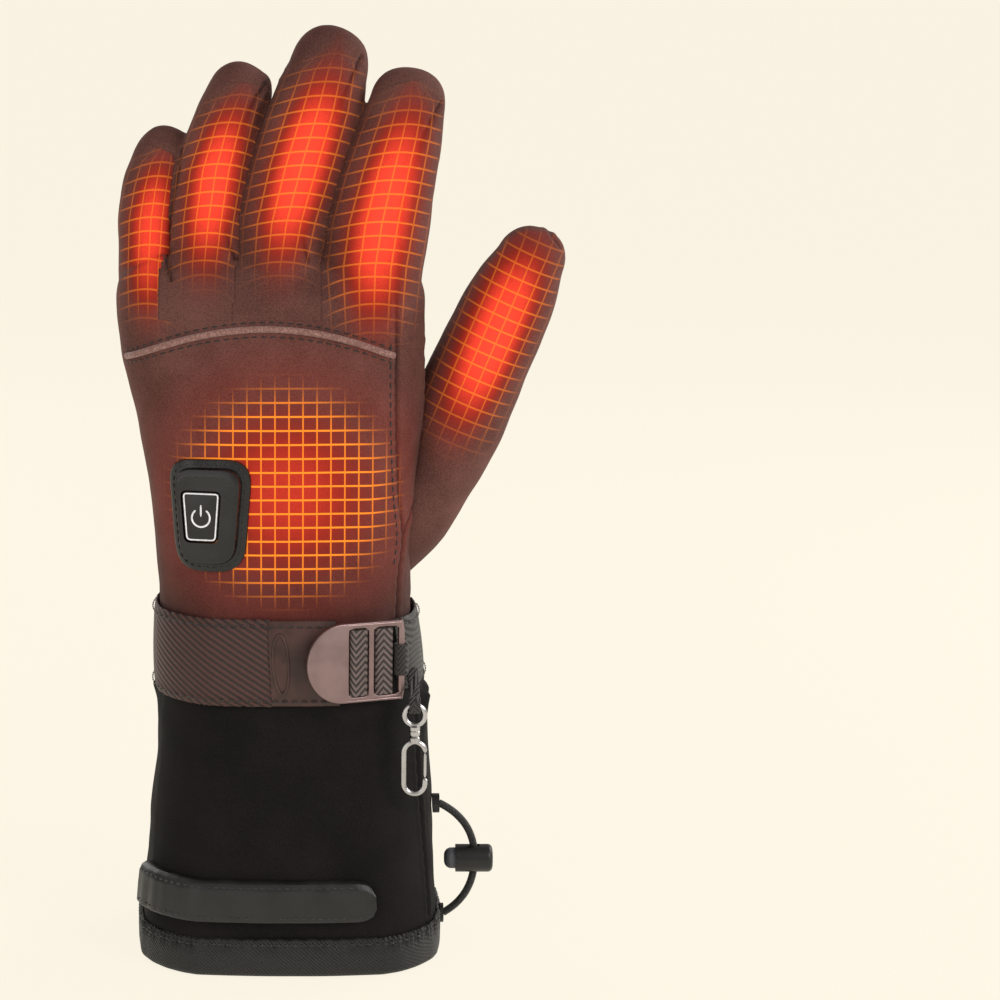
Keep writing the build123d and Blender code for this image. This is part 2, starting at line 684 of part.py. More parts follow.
hook_top = swivel_bottom - SWIVEL_GAP
hook_bottom = hook_top - HOOK_LENGTH - 1.2
hook_middle = hook_bottom + HOOK_LENGTH / 2
MOUTH_LOW = -3.4  # the hook's mouth on its thumb side, from the hook's middle
MOUTH_HIGH = 5.2
hook_plane = Plane((HOOK_X, HOOK_Y + HOOK_THICK / 2, hook_middle), x_dir=(1, 0, 0), z_dir=(0, -1, 0))
gate_x = HOOK_WIDTH / 2 - HOOK_WIRE / 2
with BuildPart() as snap_hook:
    with BuildSketch(hook_plane):
        SlotOverall(HOOK_LENGTH, HOOK_WIDTH, rotation=90)
        SlotOverall(
            HOOK_LENGTH - 2 * HOOK_WIRE, HOOK_WIDTH - 2 * HOOK_WIRE, rotation=90, mode=Mode.SUBTRACT
        )
        with Locations((HOOK_WIDTH / 2, (MOUTH_LOW + MOUTH_HIGH) / 2)):
            Rectangle(2.2 * HOOK_WIRE, MOUTH_HIGH - MOUTH_LOW, mode=Mode.SUBTRACT)
    extrude(amount=HOOK_THICK)
    with BuildSketch(Plane((HOOK_X, HOOK_Y, hook_bottom + HOOK_LENGTH - HOOK_WIRE / 2))):
        Circle(SWIVEL_R)
    extrude(amount=hook_top - (hook_bottom + HOOK_LENGTH - HOOK_WIRE / 2))
    with BuildSketch(Plane((HOOK_X, HOOK_Y, hook_top - 0.5))):
        Circle(PIN_R)
    extrude(amount=2.4)
save(snap_hook.part, "snap_hook")

# Spring tongue that closes the hook's mouth, hinged at the mouth's upper end.
GATE_WIDTH = 1.0
with BuildPart() as hook_gate:
    with BuildSketch(hook_plane.offset(0.3)):
        with Locations((gate_x, (MOUTH_HIGH + MOUTH_LOW) / 2)):
            Rectangle(GATE_WIDTH, MOUTH_HIGH - MOUTH_LOW - 0.6)
    extrude(amount=HOOK_THICK - 0.6)
save(hook_gate.part, "hook_gate")

# ---------------------------------------------------------------- cuff
CUFF_BOTTOM = 1.2  # the binding wraps the cuff's raw edge
BINDING_PROUD = 1.1
POUCH_WIDTH = 52.0
POUCH_TOP = 78.0
POUCH_BOTTOM = 22.0
POUCH_WALL = 0.8
POUCH_SET_BACK = 4.3  # from the cuff's front at the plug's top to the pouch
POUCH_DEPTH = 10.8
PACK_CLEAR = 0.4
PACK_HEIGHT = 38.0
PLUG_WIDTH = 7.0
PLUG_DEPTH = 3.8
PLUG_X = -18.5
PLUG_BOTTOM = 65.0
PLUG_TOP = 76.0
POUCH_OUTER_Y = POUCH_SET_BACK - cuff_front(PLUG_TOP)
POUCH_INNER_Y = POUCH_OUTER_Y + POUCH_DEPTH
LEAD_WIDTH = 5.0
ZIP_Z = 24.6
SLOT_WIDTH = 44.0
SLOT_HEIGHT = 1.2

pouch_depth = POUCH_INNER_Y - POUCH_OUTER_Y
pouch_middle = (POUCH_INNER_Y + POUCH_OUTER_Y) / 2


def pouch_box(shrink, z_from, z_to):
    """A box inside the pouch's outer faces, smaller by the same amount all round."""
    with BuildPart() as box:
        with BuildSketch(Plane((0, pouch_middle, z_from))):
            RectangleRounded(POUCH_WIDTH - 2 * shrink, pouch_depth - 2 * shrink, 2)
        extrude(amount=z_to - z_from)
    return box.part


def plug_box(margin):
    """The plug between the pack and the lead, with a margin all round."""
    with BuildPart() as box:
        with BuildSketch(Plane((PLUG_X, pouch_middle - pouch_depth / 2, PLUG_BOTTOM - margin))):
            Rectangle(PLUG_WIDTH + 2 * margin, PLUG_DEPTH + 2 * margin)
        extrude(amount=PLUG_TOP - PLUG_BOTTOM + 2 * margin)
    return box.part


def pocket_slot(thick):
    """The zip's slot through everything in front of the pouch."""
    with BuildPart() as slot:
        with BuildSketch(Plane.XZ.offset(-POUCH_OUTER_Y - POUCH_WALL - 1)):
            with Locations((0, ZIP_Z)):
                Rectangle(SLOT_WIDTH, thick)
        extrude(amount=REACH)
    return slot.part


with BuildPart() as cuff_shell:
    add(skin(CUFF_RINGS, -SHELL, 0))
    add(slab(CUFF_BOTTOM, CUFF_TOP), mode=Mode.INTERSECT)
    add(pocket_slot(SLOT_HEIGHT), mode=Mode.SUBTRACT)
save(cuff_shell.part, "cuff_shell")

with BuildPart() as cuff_lining:
    add(skin(CUFF_RINGS, -PAD_INSET - PADDING, -PAD_INSET))
    add(slab(CUFF_BOTTOM, CUFF_TOP), mode=Mode.INTERSECT)
    add(pouch_box(-SEAM, POUCH_BOTTOM - SEAM, POUCH_TOP + SEAM), mode=Mode.SUBTRACT)
    add(pocket_slot(SLOT_HEIGHT), mode=Mode.SUBTRACT)
    add(plug_box(SEAM), mode=Mode.SUBTRACT)
save(cuff_lining.part, "cuff_lining")

with BuildPart() as binding_core:
    add(skin(CUFF_RINGS, -PAD_INSET - PADDING - SEAM, SEAM))
    add(slab(CUFF_BOTTOM - SEAM, CUFF_TOP), mode=Mode.INTERSECT)

with BuildPart() as hem_binding:
    add(skin(CUFF_RINGS, -PAD_INSET - PADDING - BINDING_PROUD, BINDING_PROUD))
    add(slab(0, HEM_TOP - 1), mode=Mode.INTERSECT)
    add(binding_core.part, mode=Mode.SUBTRACT)
save(hem_binding.part, "hem_binding")

# ---------------------------------------------------------------- battery pocket
with BuildPart() as battery_pouch:
    add(pouch_box(0, POUCH_BOTTOM, POUCH_TOP))
    add(
        pouch_box(POUCH_WALL, POUCH_BOTTOM + POUCH_WALL, POUCH_TOP - POUCH_WALL),
        mode=Mode.SUBTRACT,
    )
    add(pocket_slot(SLOT_HEIGHT + 3), mode=Mode.SUBTRACT)
    add(plug_box(SEAM), mode=Mode.SUBTRACT)
save(battery_pouch.part, "battery_pouch")

pack_bottom = POUCH_BOTTOM + POUCH_WALL + PACK_CLEAR
with BuildPart() as battery_pack:
    add(pouch_box(POUCH_WALL + PACK_CLEAR, pack_bottom, pack_bottom + PACK_HEIGHT))
    fillet(battery_pack.edges().filter_by(Axis.Z, reverse=True), 1.0)
save(battery_pack.part, "battery_pack")


def lead_run(rings, z_from, z_to):
    """A flat stretch of the lead in the gap between shell and padding."""
    with BuildPart() as run:
        add(skin(rings, -HEATER_INSET - HEATER, -HEATER_INSET))
        with BuildSketch(Plane.XZ):
            with Locations((PLUG_X, (z_from + z_to) / 2)):
                Rectangle(LEAD_WIDTH, z_to - z_from)
        extrude(amount=REACH, mode=Mode.INTERSECT)
    return run.part


module_low = CONTROL_Z - MODULE_HEIGHT / 2 - SEAM
with BuildPart() as battery_lead:
    add(lead_run(HAND_RINGS, HAND_BOTTOM, module_low))
    add(lead_run(WRIST_RINGS, CUFF_TOP, HAND_BOTTOM))
    add(lead_run(CUFF_RINGS, PLUG_TOP, CUFF_TOP))
    add(plug_box(0))
save(battery_lead.part, "battery_lead")

FLAP_INNER = 2.6
FLAP_OUTER = 3.3
FLAP_LEFT = -46.0
FLAP_RIGHT = 27.0
FLAP_BOTTOM = 19.0
FLAP_TOP = 32.0
FLAP_SEAM = 2.4
TAPE_THICK = 0.7
TAPE_LEFT = -26.0
TAPE_BOTTOM = 20.2
TAPE_TOP = FLAP_TOP - FLAP_SEAM - 2 * CLEAR

with BuildPart() as under_flap:
    add(lofted(CUFF_RINGS, FLAP_INNER))
    add(slab(0, FLAP_TOP - FLAP_SEAM), mode=Mode.INTERSECT)

with BuildPart() as pocket_flap:
    add(skin(CUFF_RINGS, SEAM, FLAP_OUTER))
    with BuildSketch(Plane.XZ) as flap_outline:
        with Locations(((FLAP_LEFT + FLAP_RIGHT) / 2, (FLAP_TOP + FLAP_BOTTOM) / 2)):
            Rectangle(FLAP_RIGHT - FLAP_LEFT, FLAP_TOP - FLAP_BOTTOM)
        fillet(flap_outline.vertices().group_by(Axis.X)[-1], 4)
    extrude(amount=REACH, mode=Mode.INTERSECT)
    add(under_flap.part, mode=Mode.SUBTRACT)
save(pocket_flap.part, "pocket_flap")

with BuildPart() as pocket_zip_tape:
    add(skin(CUFF_RINGS, SEAM, TAPE_THICK))
    with BuildSketch(Plane.XZ):
        with Locations((0, (TAPE_TOP + TAPE_BOTTOM) / 2)):
            Rectangle(-2 * TAPE_LEFT, TAPE_TOP - TAPE_BOTTOM)
    extrude(amount=REACH, mode=Mode.INTERSECT)
    add(pocket_slot(SLOT_HEIGHT), mode=Mode.SUBTRACT)
save(pocket_zip_tape.part, "pocket_zip_tape")

# The slider runs on the flat front of the cuff, under the flap.
SLIDER_X = 13.5
SLIDER_WIDTH = 6.0
SLIDER_HEIGHT = 6.0
with BuildPart() as zip_slider:
    add(skin(CUFF_RINGS, TAPE_THICK + CLEAR, FLAP_INNER - CLEAR))
    with BuildSketch(Plane.XZ):
        with Locations((SLIDER_X, ZIP_Z)):
            RectangleRounded(SLIDER_WIDTH, SLIDER_HEIGHT, 1.5)
    extrude(amount=REACH, mode=Mode.INTERSECT)
save(zip_slider.part, "zip_slider")

# ---------------------------------------------------------------- hem drawcord
CORD_R = 1.25
CORD_Y = -5.0
CORD_ROUTE = [(49.6, 47.5), (61.5, 41.5), (61.5, 15.5), (51.3, 9.5)]  # x, z from the upper eyelet
EYELET_R = 3.2
LOCK_X = 61.5
LOCK_Z = 28.5
LOCK_R = 4.6
LOCK_LEFT = 55.2
LOCK_RIGHT = 67.4
LOCK_WALL = 1.0
LOCK_HOLE_R = 1.75
BUTTON_LEFT = 51.4
BUTTON_TRAVEL = 2.0
STEM_CLEAR = 0.15
STEM_RIGHT = 64.2

upper_eyelet, upper_turn, lower_turn, hem_eyelet = [Vector(x, CORD_Y, z) for x, z in CORD_ROUTE]
runs = [
    (upper_turn - upper_eyelet),
    (lower_turn - upper_turn),
    (hem_eyelet - lower_turn),
]
radii = []
for before, after in zip(runs, runs[1:]):
    half_turn = radians(before.get_angle(after) / 2)
    radii.append(0.45 * min(before.length, after.length) / tan(half_turn))
print("drawcord bend radii", [round(r, 2) for r in radii])

with BuildPart() as drawcord:
    with BuildLine() as cord_path:
        FilletPolyline(upper_eyelet, upper_turn, lower_turn, hem_eyelet, radius=radii)
    with BuildSketch(Plane(upper_eyelet, z_dir=runs[0])):
        Circle(CORD_R)
    sweep()
cord_length = cord_path.wire().length
print(
    "drawcord length",
    round(cord_length, 2),
    "volume ratio",
    round(drawcord.part.volume / (pi * CORD_R**2 * cord_length), 4),
)
save(drawcord.part, "drawcord")

def eyelet(end, grow):
    """A grommet whose face the cord's end meets, seated on the cuff grown by an amount."""
    with BuildPart() as grommet:
        with BuildSketch(Plane(end, z_dir=(-1, 0, 0))):
            Circle(EYELET_R)
        extrude(amount=8)
        add(lofted(CUFF_RINGS, grow), mode=Mode.SUBTRACT)
    return grommet.part


with BuildPart() as cord_eyelets:
    add(eyelet(upper_eyelet, SEAM))
    add(eyelet(hem_eyelet, BINDING_PROUD + SEAM))
save(cord_eyelets.part, "cord_eyelets")


def lock_axis_disc(x):
    """A plane square to the lock's push direction, on its axis."""
    return Plane((x, CORD_Y, LOCK_Z), x_dir=(0, 1, 0), z_dir=(1, 0, 0))


with BuildPart() as lock_body:
    with BuildSketch(lock_axis_disc(LOCK_LEFT)):
        Circle(LOCK_R)
    extrude(amount=LOCK_RIGHT - LOCK_LEFT)
    fillet(lock_body.edges().filter_by(GeomType.CIRCLE).sort_by(Axis.X)[-1], 1.6)
    with BuildSketch(lock_axis_disc(LOCK_LEFT)):
        Circle(LOCK_R - LOCK_WALL)
    extrude(amount=LOCK_RIGHT - LOCK_LEFT - LOCK_WALL, mode=Mode.SUBTRACT)
    with BuildSketch(Plane((LOCK_X, CORD_Y, LOCK_Z - 2 * LOCK_R))):
        Circle(LOCK_HOLE_R)
    extrude(amount=4 * LOCK_R, mode=Mode.SUBTRACT)
save(lock_body.part, "lock_body")

stem_r = LOCK_R - LOCK_WALL - STEM_CLEAR
with BuildPart() as lock_button:
    with BuildSketch(lock_axis_disc(BUTTON_LEFT)):
        Circle(stem_r)
    extrude(amount=STEM_RIGHT - BUTTON_LEFT)
    fillet(lock_button.edges().filter_by(GeomType.CIRCLE).sort_by(Axis.X)[0], 2.4)
    slot_centre = LOCK_X - BUTTON_TRAVEL / 2
    with BuildSketch(Plane((slot_centre, CORD_Y, LOCK_Z - 2 * LOCK_R))):
        SlotOverall(2 * LOCK_HOLE_R + BUTTON_TRAVEL, 2 * LOCK_HOLE_R)
    extrude(amount=4 * LOCK_R, mode=Mode.SUBTRACT)
save(lock_button.part, "lock_button")

SPRING_R = 2.2
SPRING_WIRE_R = 0.35
spring_left = STEM_RIGHT + SPRING_WIRE_R + 0.05
spring_right = LOCK_RIGHT - LOCK_WALL - SPRING_WIRE_R - 0.05
SPRING_TURNS = 2
with BuildPart() as lock_spring:
    with BuildLine() as coil:
        Helix(
            (spring_right - spring_left) / SPRING_TURNS,
            spring_right - spring_left,
            SPRING_R,
            center=(spring_left, CORD_Y, LOCK_Z),
            direction=(1, 0, 0),
        )
    with BuildSketch(Plane(coil.line @ 0, z_dir=coil.line % 0)):
        Circle(SPRING_WIRE_R)
    sweep(is_frenet=True)
save(lock_spring.part, "lock_spring")
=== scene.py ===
import bmesh
import bpy
import json
import math
import numpy as np
from mathutils import Matrix, Vector, kdtree, noise
from mathutils.bvhtree import BVHTree

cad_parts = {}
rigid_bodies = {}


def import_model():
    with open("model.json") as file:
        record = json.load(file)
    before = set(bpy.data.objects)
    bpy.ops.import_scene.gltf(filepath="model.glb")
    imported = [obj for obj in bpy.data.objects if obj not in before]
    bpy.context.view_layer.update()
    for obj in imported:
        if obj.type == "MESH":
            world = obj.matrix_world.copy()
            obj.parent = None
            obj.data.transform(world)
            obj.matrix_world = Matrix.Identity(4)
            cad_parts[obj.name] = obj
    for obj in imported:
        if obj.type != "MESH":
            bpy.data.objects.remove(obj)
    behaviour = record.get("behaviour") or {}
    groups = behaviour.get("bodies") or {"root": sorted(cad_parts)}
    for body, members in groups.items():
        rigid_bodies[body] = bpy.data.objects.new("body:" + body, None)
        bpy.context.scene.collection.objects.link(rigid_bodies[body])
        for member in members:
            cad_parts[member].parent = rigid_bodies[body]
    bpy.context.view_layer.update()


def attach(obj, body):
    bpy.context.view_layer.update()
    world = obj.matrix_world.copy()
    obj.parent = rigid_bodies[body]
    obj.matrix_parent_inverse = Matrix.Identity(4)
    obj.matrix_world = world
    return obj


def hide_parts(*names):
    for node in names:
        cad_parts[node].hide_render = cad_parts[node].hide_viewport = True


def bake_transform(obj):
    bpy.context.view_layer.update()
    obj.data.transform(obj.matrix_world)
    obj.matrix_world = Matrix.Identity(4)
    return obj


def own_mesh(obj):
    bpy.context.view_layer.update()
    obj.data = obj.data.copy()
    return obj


# A battery-heated ski glove for the left hand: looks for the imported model.
# The glove stands on its cuff, fingers up, thumb to +X, the back of the hand to -Y.
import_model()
MM = 0.001
scene = bpy.context.scene


def mm(x, y, z):
    """A point given in millimetres."""
    return Vector((x, y, z)) * MM


def smooth_step(value, low, high):
    """0 below low, 1 above high, with a soft turn between them."""
    share = np.clip((value - low) / (high - low), 0, 1)
    return share * share * (3 - 2 * share)


def bell(value, middle, reach):
    """1 at the middle, fading away over the reach."""
    return np.exp(-(((value - middle) / reach) ** 2))


# ------------------------------------------------------------------ camera, light, floor
CAMERA_BACK = 900
CAMERA_UP = 330
CAMERA_PITCH = 11.4
CAMERA_LENS = 101.7
FRAMING_SHIFT = 0.211

camera_data = bpy.data.cameras.new("camera")
camera_data.lens = CAMERA_LENS
camera_data.shift_x = FRAMING_SHIFT
camera = bpy.data.objects.new("camera", camera_data)
camera.location = mm(0, -CAMERA_BACK, CAMERA_UP)
camera.rotation_euler = (math.radians(90 - CAMERA_PITCH), 0, 0)
scene.collection.objects.link(camera)
scene.camera = camera
scene.view_settings.view_transform = "Standard"


def tone(red, green, blue):
    """A colour given as screen values from 0 to 255."""
    channels = []
    for value in (red / 255, green / 255, blue / 255):
        channels.append(value / 12.92 if value <= 0.04045 else ((value + 0.055) / 1.055) ** 2.4)
    return (*channels, 1.0)


def soft_light(name, place, aim, size, power, colour):
    """A square studio light pointed at a place on the glove."""
    lamp = bpy.data.lights.new(name, "AREA")
    lamp.size = size
    lamp.energy = power
    lamp.color = colour[:3]
    lamp_object = bpy.data.objects.new(name, lamp)
    lamp_object.location = place
    lamp_object.rotation_euler = (aim - place).to_track_quat("-Z", "Y").to_euler()
    scene.collection.objects.link(lamp_object)


GLOVE_MIDDLE = mm(0, 0, 150)
DAYLIGHT = (1.0, 0.98, 0.95)
soft_light("key_light", Vector((0.85, -0.75, 0.7)), GLOVE_MIDDLE, 0.6, 7.0, DAYLIGHT)
soft_light("fill_light", Vector((-0.7, -1.0, 0.4)), GLOVE_MIDDLE, 0.9, 2.2, DAYLIGHT)
soft_light("rim_light", Vector((0.9, 0.55, 0.6)), GLOVE_MIDDLE, 0.6, 6.0, DAYLIGHT)
soft_light("back_light", Vector((-0.7, 0.9, 0.5)), GLOVE_MIDDLE, 0.6, 3.0, DAYLIGHT)

world = bpy.data.worlds.new("studio")
world.use_nodes = True
world.node_tree.nodes["Background"].inputs["Color"].default_value = (1.0, 0.95, 0.86, 1)
world.node_tree.nodes["Background"].inputs["Strength"].default_value = 0.42
scene.world = world


# ------------------------------------------------------------------ materials
def new_finish(name, colour, roughness, metallic=0.0):
    """A material with its even values set on the shader, and its node tree."""
    finish = bpy.data.materials.new(name)
    finish.use_nodes = True
    shader = finish.node_tree.nodes["Principled BSDF"]
    shader.inputs["Base Color"].default_value = colour
    shader.inputs["Roughness"].default_value = roughness
    shader.inputs["Metallic"].default_value = metallic
    return finish, finish.node_tree, shader


def add_node(tree, kind, values=None, **settings):
    """A node with its settings made and its sockets set or linked."""
    node = tree.nodes.new(kind)
    for name, value in settings.items():
        setattr(node, name, value)
    for socket, value in (values or {}).items():
        if isinstance(value, bpy.types.NodeSocket):
            tree.links.new(value, node.inputs[socket])
        else:
            node.inputs[socket].default_value = value
    return node


def calc(tree, operation, first, second=0.0, clamp=False):
    """The result of a calculation on two values."""
    values = {0: first, 1: second}
    return add_node(tree, "ShaderNodeMath", values, operation=operation, use_clamp=clamp).outputs[0]


def mixed(tree, amount, first, second):
    """A colour between two colours."""
    values = {0: amount, 6: first, 7: second}
    return add_node(tree, "ShaderNodeMix", values, data_type="RGBA").outputs[2]


def read(tree, name, output="Fac"):
    """A value stored on the piece."""
    return add_node(tree, "ShaderNodeAttribute", attribute_name=name).outputs[output]


def grain(tree, place, scale, detail=2.0, roughness=0.5):
    """Cloudy variation, in features per metre."""
    values = {"Vector": place, "Scale": scale, "Detail": detail, "Roughness": roughness}
    return add_node(tree, "ShaderNodeTexNoise", values).outputs["Fac"]


def ramp(tree, value, low, high, out_low=0.0, out_high=1.0):
    """A value brought softly from one range into another."""
    values = {"Value": value, "From Min": low, "From Max": high, "To Min": out_low, "To Max": out_high}
    node = add_node(tree, "ShaderNodeMapRange", values, interpolation_type="SMOOTHSTEP")
    return node.outputs["Result"]


def raise_bump(tree, shader, height, depth, strength=1.0):
    """Relief of a given depth in metres."""
    values = {"Height": height, "Distance": depth, "Strength": strength}
    bump = add_node(tree, "ShaderNodeBump", values)
    tree.links.new(bump.outputs["Normal"], shader.inputs["Normal"])


def here(tree):
    """The place on a rigid piece."""
    return add_node(tree, "ShaderNodeTexCoord").outputs["Object"]


# Colours of the painted heat glow on the cloth and on the heating grid's wires.
GLOW_RED = tone(238, 64, 44)
EMBER_GLOW = tone(136, 34, 22)
GRID_GLOW_ORANGE = tone(255, 140, 38)


def cloth_finish(name, dark, light, sheen, heated, twill=0.0):
    """Brushed softshell cloth with a fine grain, and a painted glow where the heating grid lies."""
    finish, tree, shader = new_finish(name, dark, 0.88)
    shader.inputs["Sheen Weight"].default_value = sheen
    shader.inputs["Sheen Roughness"].default_value = 0.45
    shader.inputs["Sheen Tint"].default_value = light
    shader.inputs["Specular IOR Level"].default_value = 0.2
    place = read(tree, "cloth_place", "Vector")
    fuzz = grain(tree, place, 2600, 2.0, 0.6)
    cloud = grain(tree, place, 45, 3.0, 0.55)
    fibre = calc(tree, "ADD", calc(tree, "MULTIPLY", fuzz, 0.7), calc(tree, "MULTIPLY", cloud, 0.5))
    cloth = mixed(tree, ramp(tree, fibre, 0.35, 0.85), dark, light)
    if heated:
        height = add_node(tree, "ShaderNodeSeparateXYZ", {0: place}).outputs[2]
        cloth = mixed(tree, ramp(tree, height, 0.108, 0.15, 0.6, 0.0), cloth, (0.006, 0.005, 0.005, 1))
    seam = read(tree, "seam")
    cloth = mixed(tree, calc(tree, "MULTIPLY", seam, 0.85, True), cloth, (0.004, 0.003, 0.003, 1))
    if heated:
        # Painted glow: the heated zones and the grid's wires are tinted red and orange and given emission,
        # though the cloth is no lamp.
        glow_amount = read(tree, "heat_glow")
        grid = add_node(tree, "ShaderNodeSeparateXYZ", {0: read(tree, "grid_place", "Vector")})
        lines = []
        for axis, width in ((0, 0.075), (1, 0.095)):
            away = calc(tree, "PINGPONG", grid.outputs[axis], 0.5)
            lines.append(ramp(tree, away, width * 0.35, width, 1.0, 0.0))
        weave = calc(tree, "MAXIMUM", calc(tree, "MULTIPLY", lines[0], 0.8), lines[1])
        wire = calc(tree, "MULTIPLY", weave, grid.outputs[2], True)
        speckled = calc(tree, "MULTIPLY", glow_amount, ramp(tree, fuzz, 0.1, 0.75, 0.86, 1.05), True)
        glowing_cloth = mixed(tree, ramp(tree, speckled, 0.0, 0.55), cloth, EMBER_GLOW)
        glowing_cloth = mixed(tree, ramp(tree, speckled, 0.35, 1.0), glowing_cloth, GLOW_RED)
        glowing_cloth = mixed(tree, wire, glowing_cloth, GRID_GLOW_ORANGE)
        cloth_glow = calc(tree, "MULTIPLY", speckled, 0.72)
        wire_glow = calc(tree, "MULTIPLY", wire, 0.6)
        glow = calc(tree, "MAXIMUM", cloth_glow, wire_glow)
        tree.links.new(glowing_cloth, shader.inputs["Base Color"])
        tree.links.new(mixed(tree, glow, (0, 0, 0, 1), glowing_cloth), shader.inputs["Emission Color"])
        shader.inputs["Emission Strength"].default_value = 0.68
    else:
        tree.links.new(cloth, shader.inputs["Base Color"])
    if twill:
        flat = add_node(tree, "ShaderNodeSeparateXYZ", {0: place})
        slant = calc(tree, "ADD", flat.outputs[2], calc(tree, "MULTIPLY", flat.outputs[0], 0.75))
        rib = calc(tree, "PINGPONG", calc(tree, "DIVIDE", slant, twill), 0.5)
        fuzz = calc(tree, "ADD", calc(tree, "MULTIPLY", rib, 3.0), fuzz)
    raise_bump(tree, shader, fuzz, 0.00012, 0.55)
    return finish


def leather_finish(name, dark, light, roughness):
    """Smooth synthetic leather: a fine pebble grain, with wear showing as paler patches."""
    finish, tree, shader = new_finish(name, dark, roughness)
    place = here(tree)
    cells = add_node(
        tree, "ShaderNodeTexVoronoi", {"Vector": place, "Scale": 1500.0}, feature="SMOOTH_F1"
    ).outputs["Distance"]
    cloud = grain(tree, place, 120, 3.0)
    tree.links.new(mixed(tree, ramp(tree, cloud, 0.3, 0.75), dark, light), shader.inputs["Base Color"])
    rough = ramp(tree, cloud, 0.25, 0.8, roughness - 0.08, roughness + 0.12)
    tree.links.new(rough, shader.inputs["Roughness"])
    raise_bump(tree, shader, cells, 0.00006, 0.5)
    return finish


def rib_finish(name, dark, light, turn, pitch, chevron=0.0):
    """Webbing with ribs that slant across it; a chevron width makes them a herringbone."""
    finish, tree, shader = new_finish(name, dark, 0.62)
    shader.inputs["Sheen Weight"].default_value = 0.06
    place = add_node(tree, "ShaderNodeSeparateXYZ", {0: here(tree)})
    across = calc(tree, "SUBTRACT", place.outputs[0], calc(tree, "MULTIPLY", place.outputs[1], 0.35))
    if chevron:
        across = calc(tree, "PINGPONG", across, chevron)
    slant = calc(tree, "ADD", place.outputs[2], calc(tree, "MULTIPLY", across, turn))
    wave = calc(tree, "PINGPONG", calc(tree, "DIVIDE", slant, pitch), 0.5)
    thread = grain(tree, here(tree), 1800, 2.0)
    ribs = calc(tree, "ADD", calc(tree, "MULTIPLY", wave, 1.6), calc(tree, "MULTIPLY", thread, 0.3))
    tree.links.new(mixed(tree, ramp(tree, ribs, 0.15, 0.95), dark, light), shader.inputs["Base Color"])
    raise_bump(tree, shader, ribs, 0.0005, 0.9)
    return finish


def metal_finish(name, colour, roughness, brushed):
    """Cast metal with faint brushing and smudges."""
    finish, tree, shader = new_finish(name, colour, roughness, 1.0)
    place = here(tree)
    stretched = add_node(tree, "ShaderNodeMapping", {"Vector": place, "Scale": (40.0, 40.0, 900.0)})
    strokes = grain(tree, stretched.outputs[0], brushed, 3.0)
    smudge = grain(tree, place, 150, 2.0)
    stroke_rough = calc(tree, "MULTIPLY", strokes, 0.16)
    mixed_rough = calc(tree, "ADD", stroke_rough, calc(tree, "MULTIPLY", smudge, 0.12))
    tree.links.new(calc(tree, "ADD", mixed_rough, roughness - 0.12), shader.inputs["Roughness"])
    shade = [channel * 0.8 for channel in colour[:3]]
    shaded = mixed(tree, ramp(tree, smudge, 0.3, 0.8), colour, (*shade, 1))
    tree.links.new(shaded, shader.inputs["Base Color"])
    raise_bump(tree, shader, strokes, 0.00002, 0.4)
    return finish


def plastic_finish(name, dark, light, roughness):
    """Moulded plastic with a fine spark texture."""
    finish, tree, shader = new_finish(name, dark, roughness)
    place = here(tree)
    spark = grain(tree, place, 3500, 1.0)
    cloud = grain(tree, place, 90, 2.0)
    tree.links.new(mixed(tree, ramp(tree, cloud, 0.3, 0.7), dark, light), shader.inputs["Base Color"])
    tree.links.new(ramp(tree, spark, 0.3, 0.7, roughness - 0.06, roughness + 0.1), shader.inputs["Roughness"])
    raise_bump(tree, shader, spark, 0.00003, 0.35)
    return finish


def fleece_finish(name, dark, light):
    """Brushed fleece: soft tufts."""
    finish, tree, shader = new_finish(name, dark, 0.95)
    shader.inputs["Sheen Weight"].default_value = 0.6
    shader.inputs["Sheen Roughness"].default_value = 0.6
    tufts = grain(tree, here(tree), 900, 4.0, 0.7)
    tree.links.new(mixed(tree, ramp(tree, tufts, 0.3, 0.7), dark, light), shader.inputs["Base Color"])
    raise_bump(tree, shader, tufts, 0.0006, 0.8)
    return finish


def film_finish(name, colour, track):
    """Thin heating film with the conductive track showing through."""
    finish, tree, shader = new_finish(name, colour, 0.4)
    place = add_node(tree, "ShaderNodeSeparateXYZ", {0: here(tree)})
    wave = calc(tree, "PINGPONG", calc(tree, "DIVIDE", place.outputs[2], 0.0043), 0.5)
    line = ramp(tree, wave, 0.08, 0.14, 1.0, 0.0)
    tree.links.new(mixed(tree, line, colour, track), shader.inputs["Base Color"])
    return finish


def cord_finish(name, dark, light):
    """Braided cord or sewing thread: fine crossing strands."""
    finish, tree, shader = new_finish(name, dark, 0.7)
    shader.inputs["Sheen Weight"].default_value = 0.3
    place = here(tree)
    stretch = add_node(tree, "ShaderNodeMapping", {"Vector": place, "Scale": (1.0, 1.0, 0.6)})
    braid = add_node(
        tree, "ShaderNodeTexVoronoi", {"Vector": stretch.outputs[0], "Scale": 1400.0}
    ).outputs["Distance"]
    tree.links.new(mixed(tree, ramp(tree, braid, 0.1, 0.7), light, dark), shader.inputs["Base Color"])
    raise_bump(tree, shader, calc(tree, "SUBTRACT", 1.0, braid), 0.0002, 0.7)
    return finish


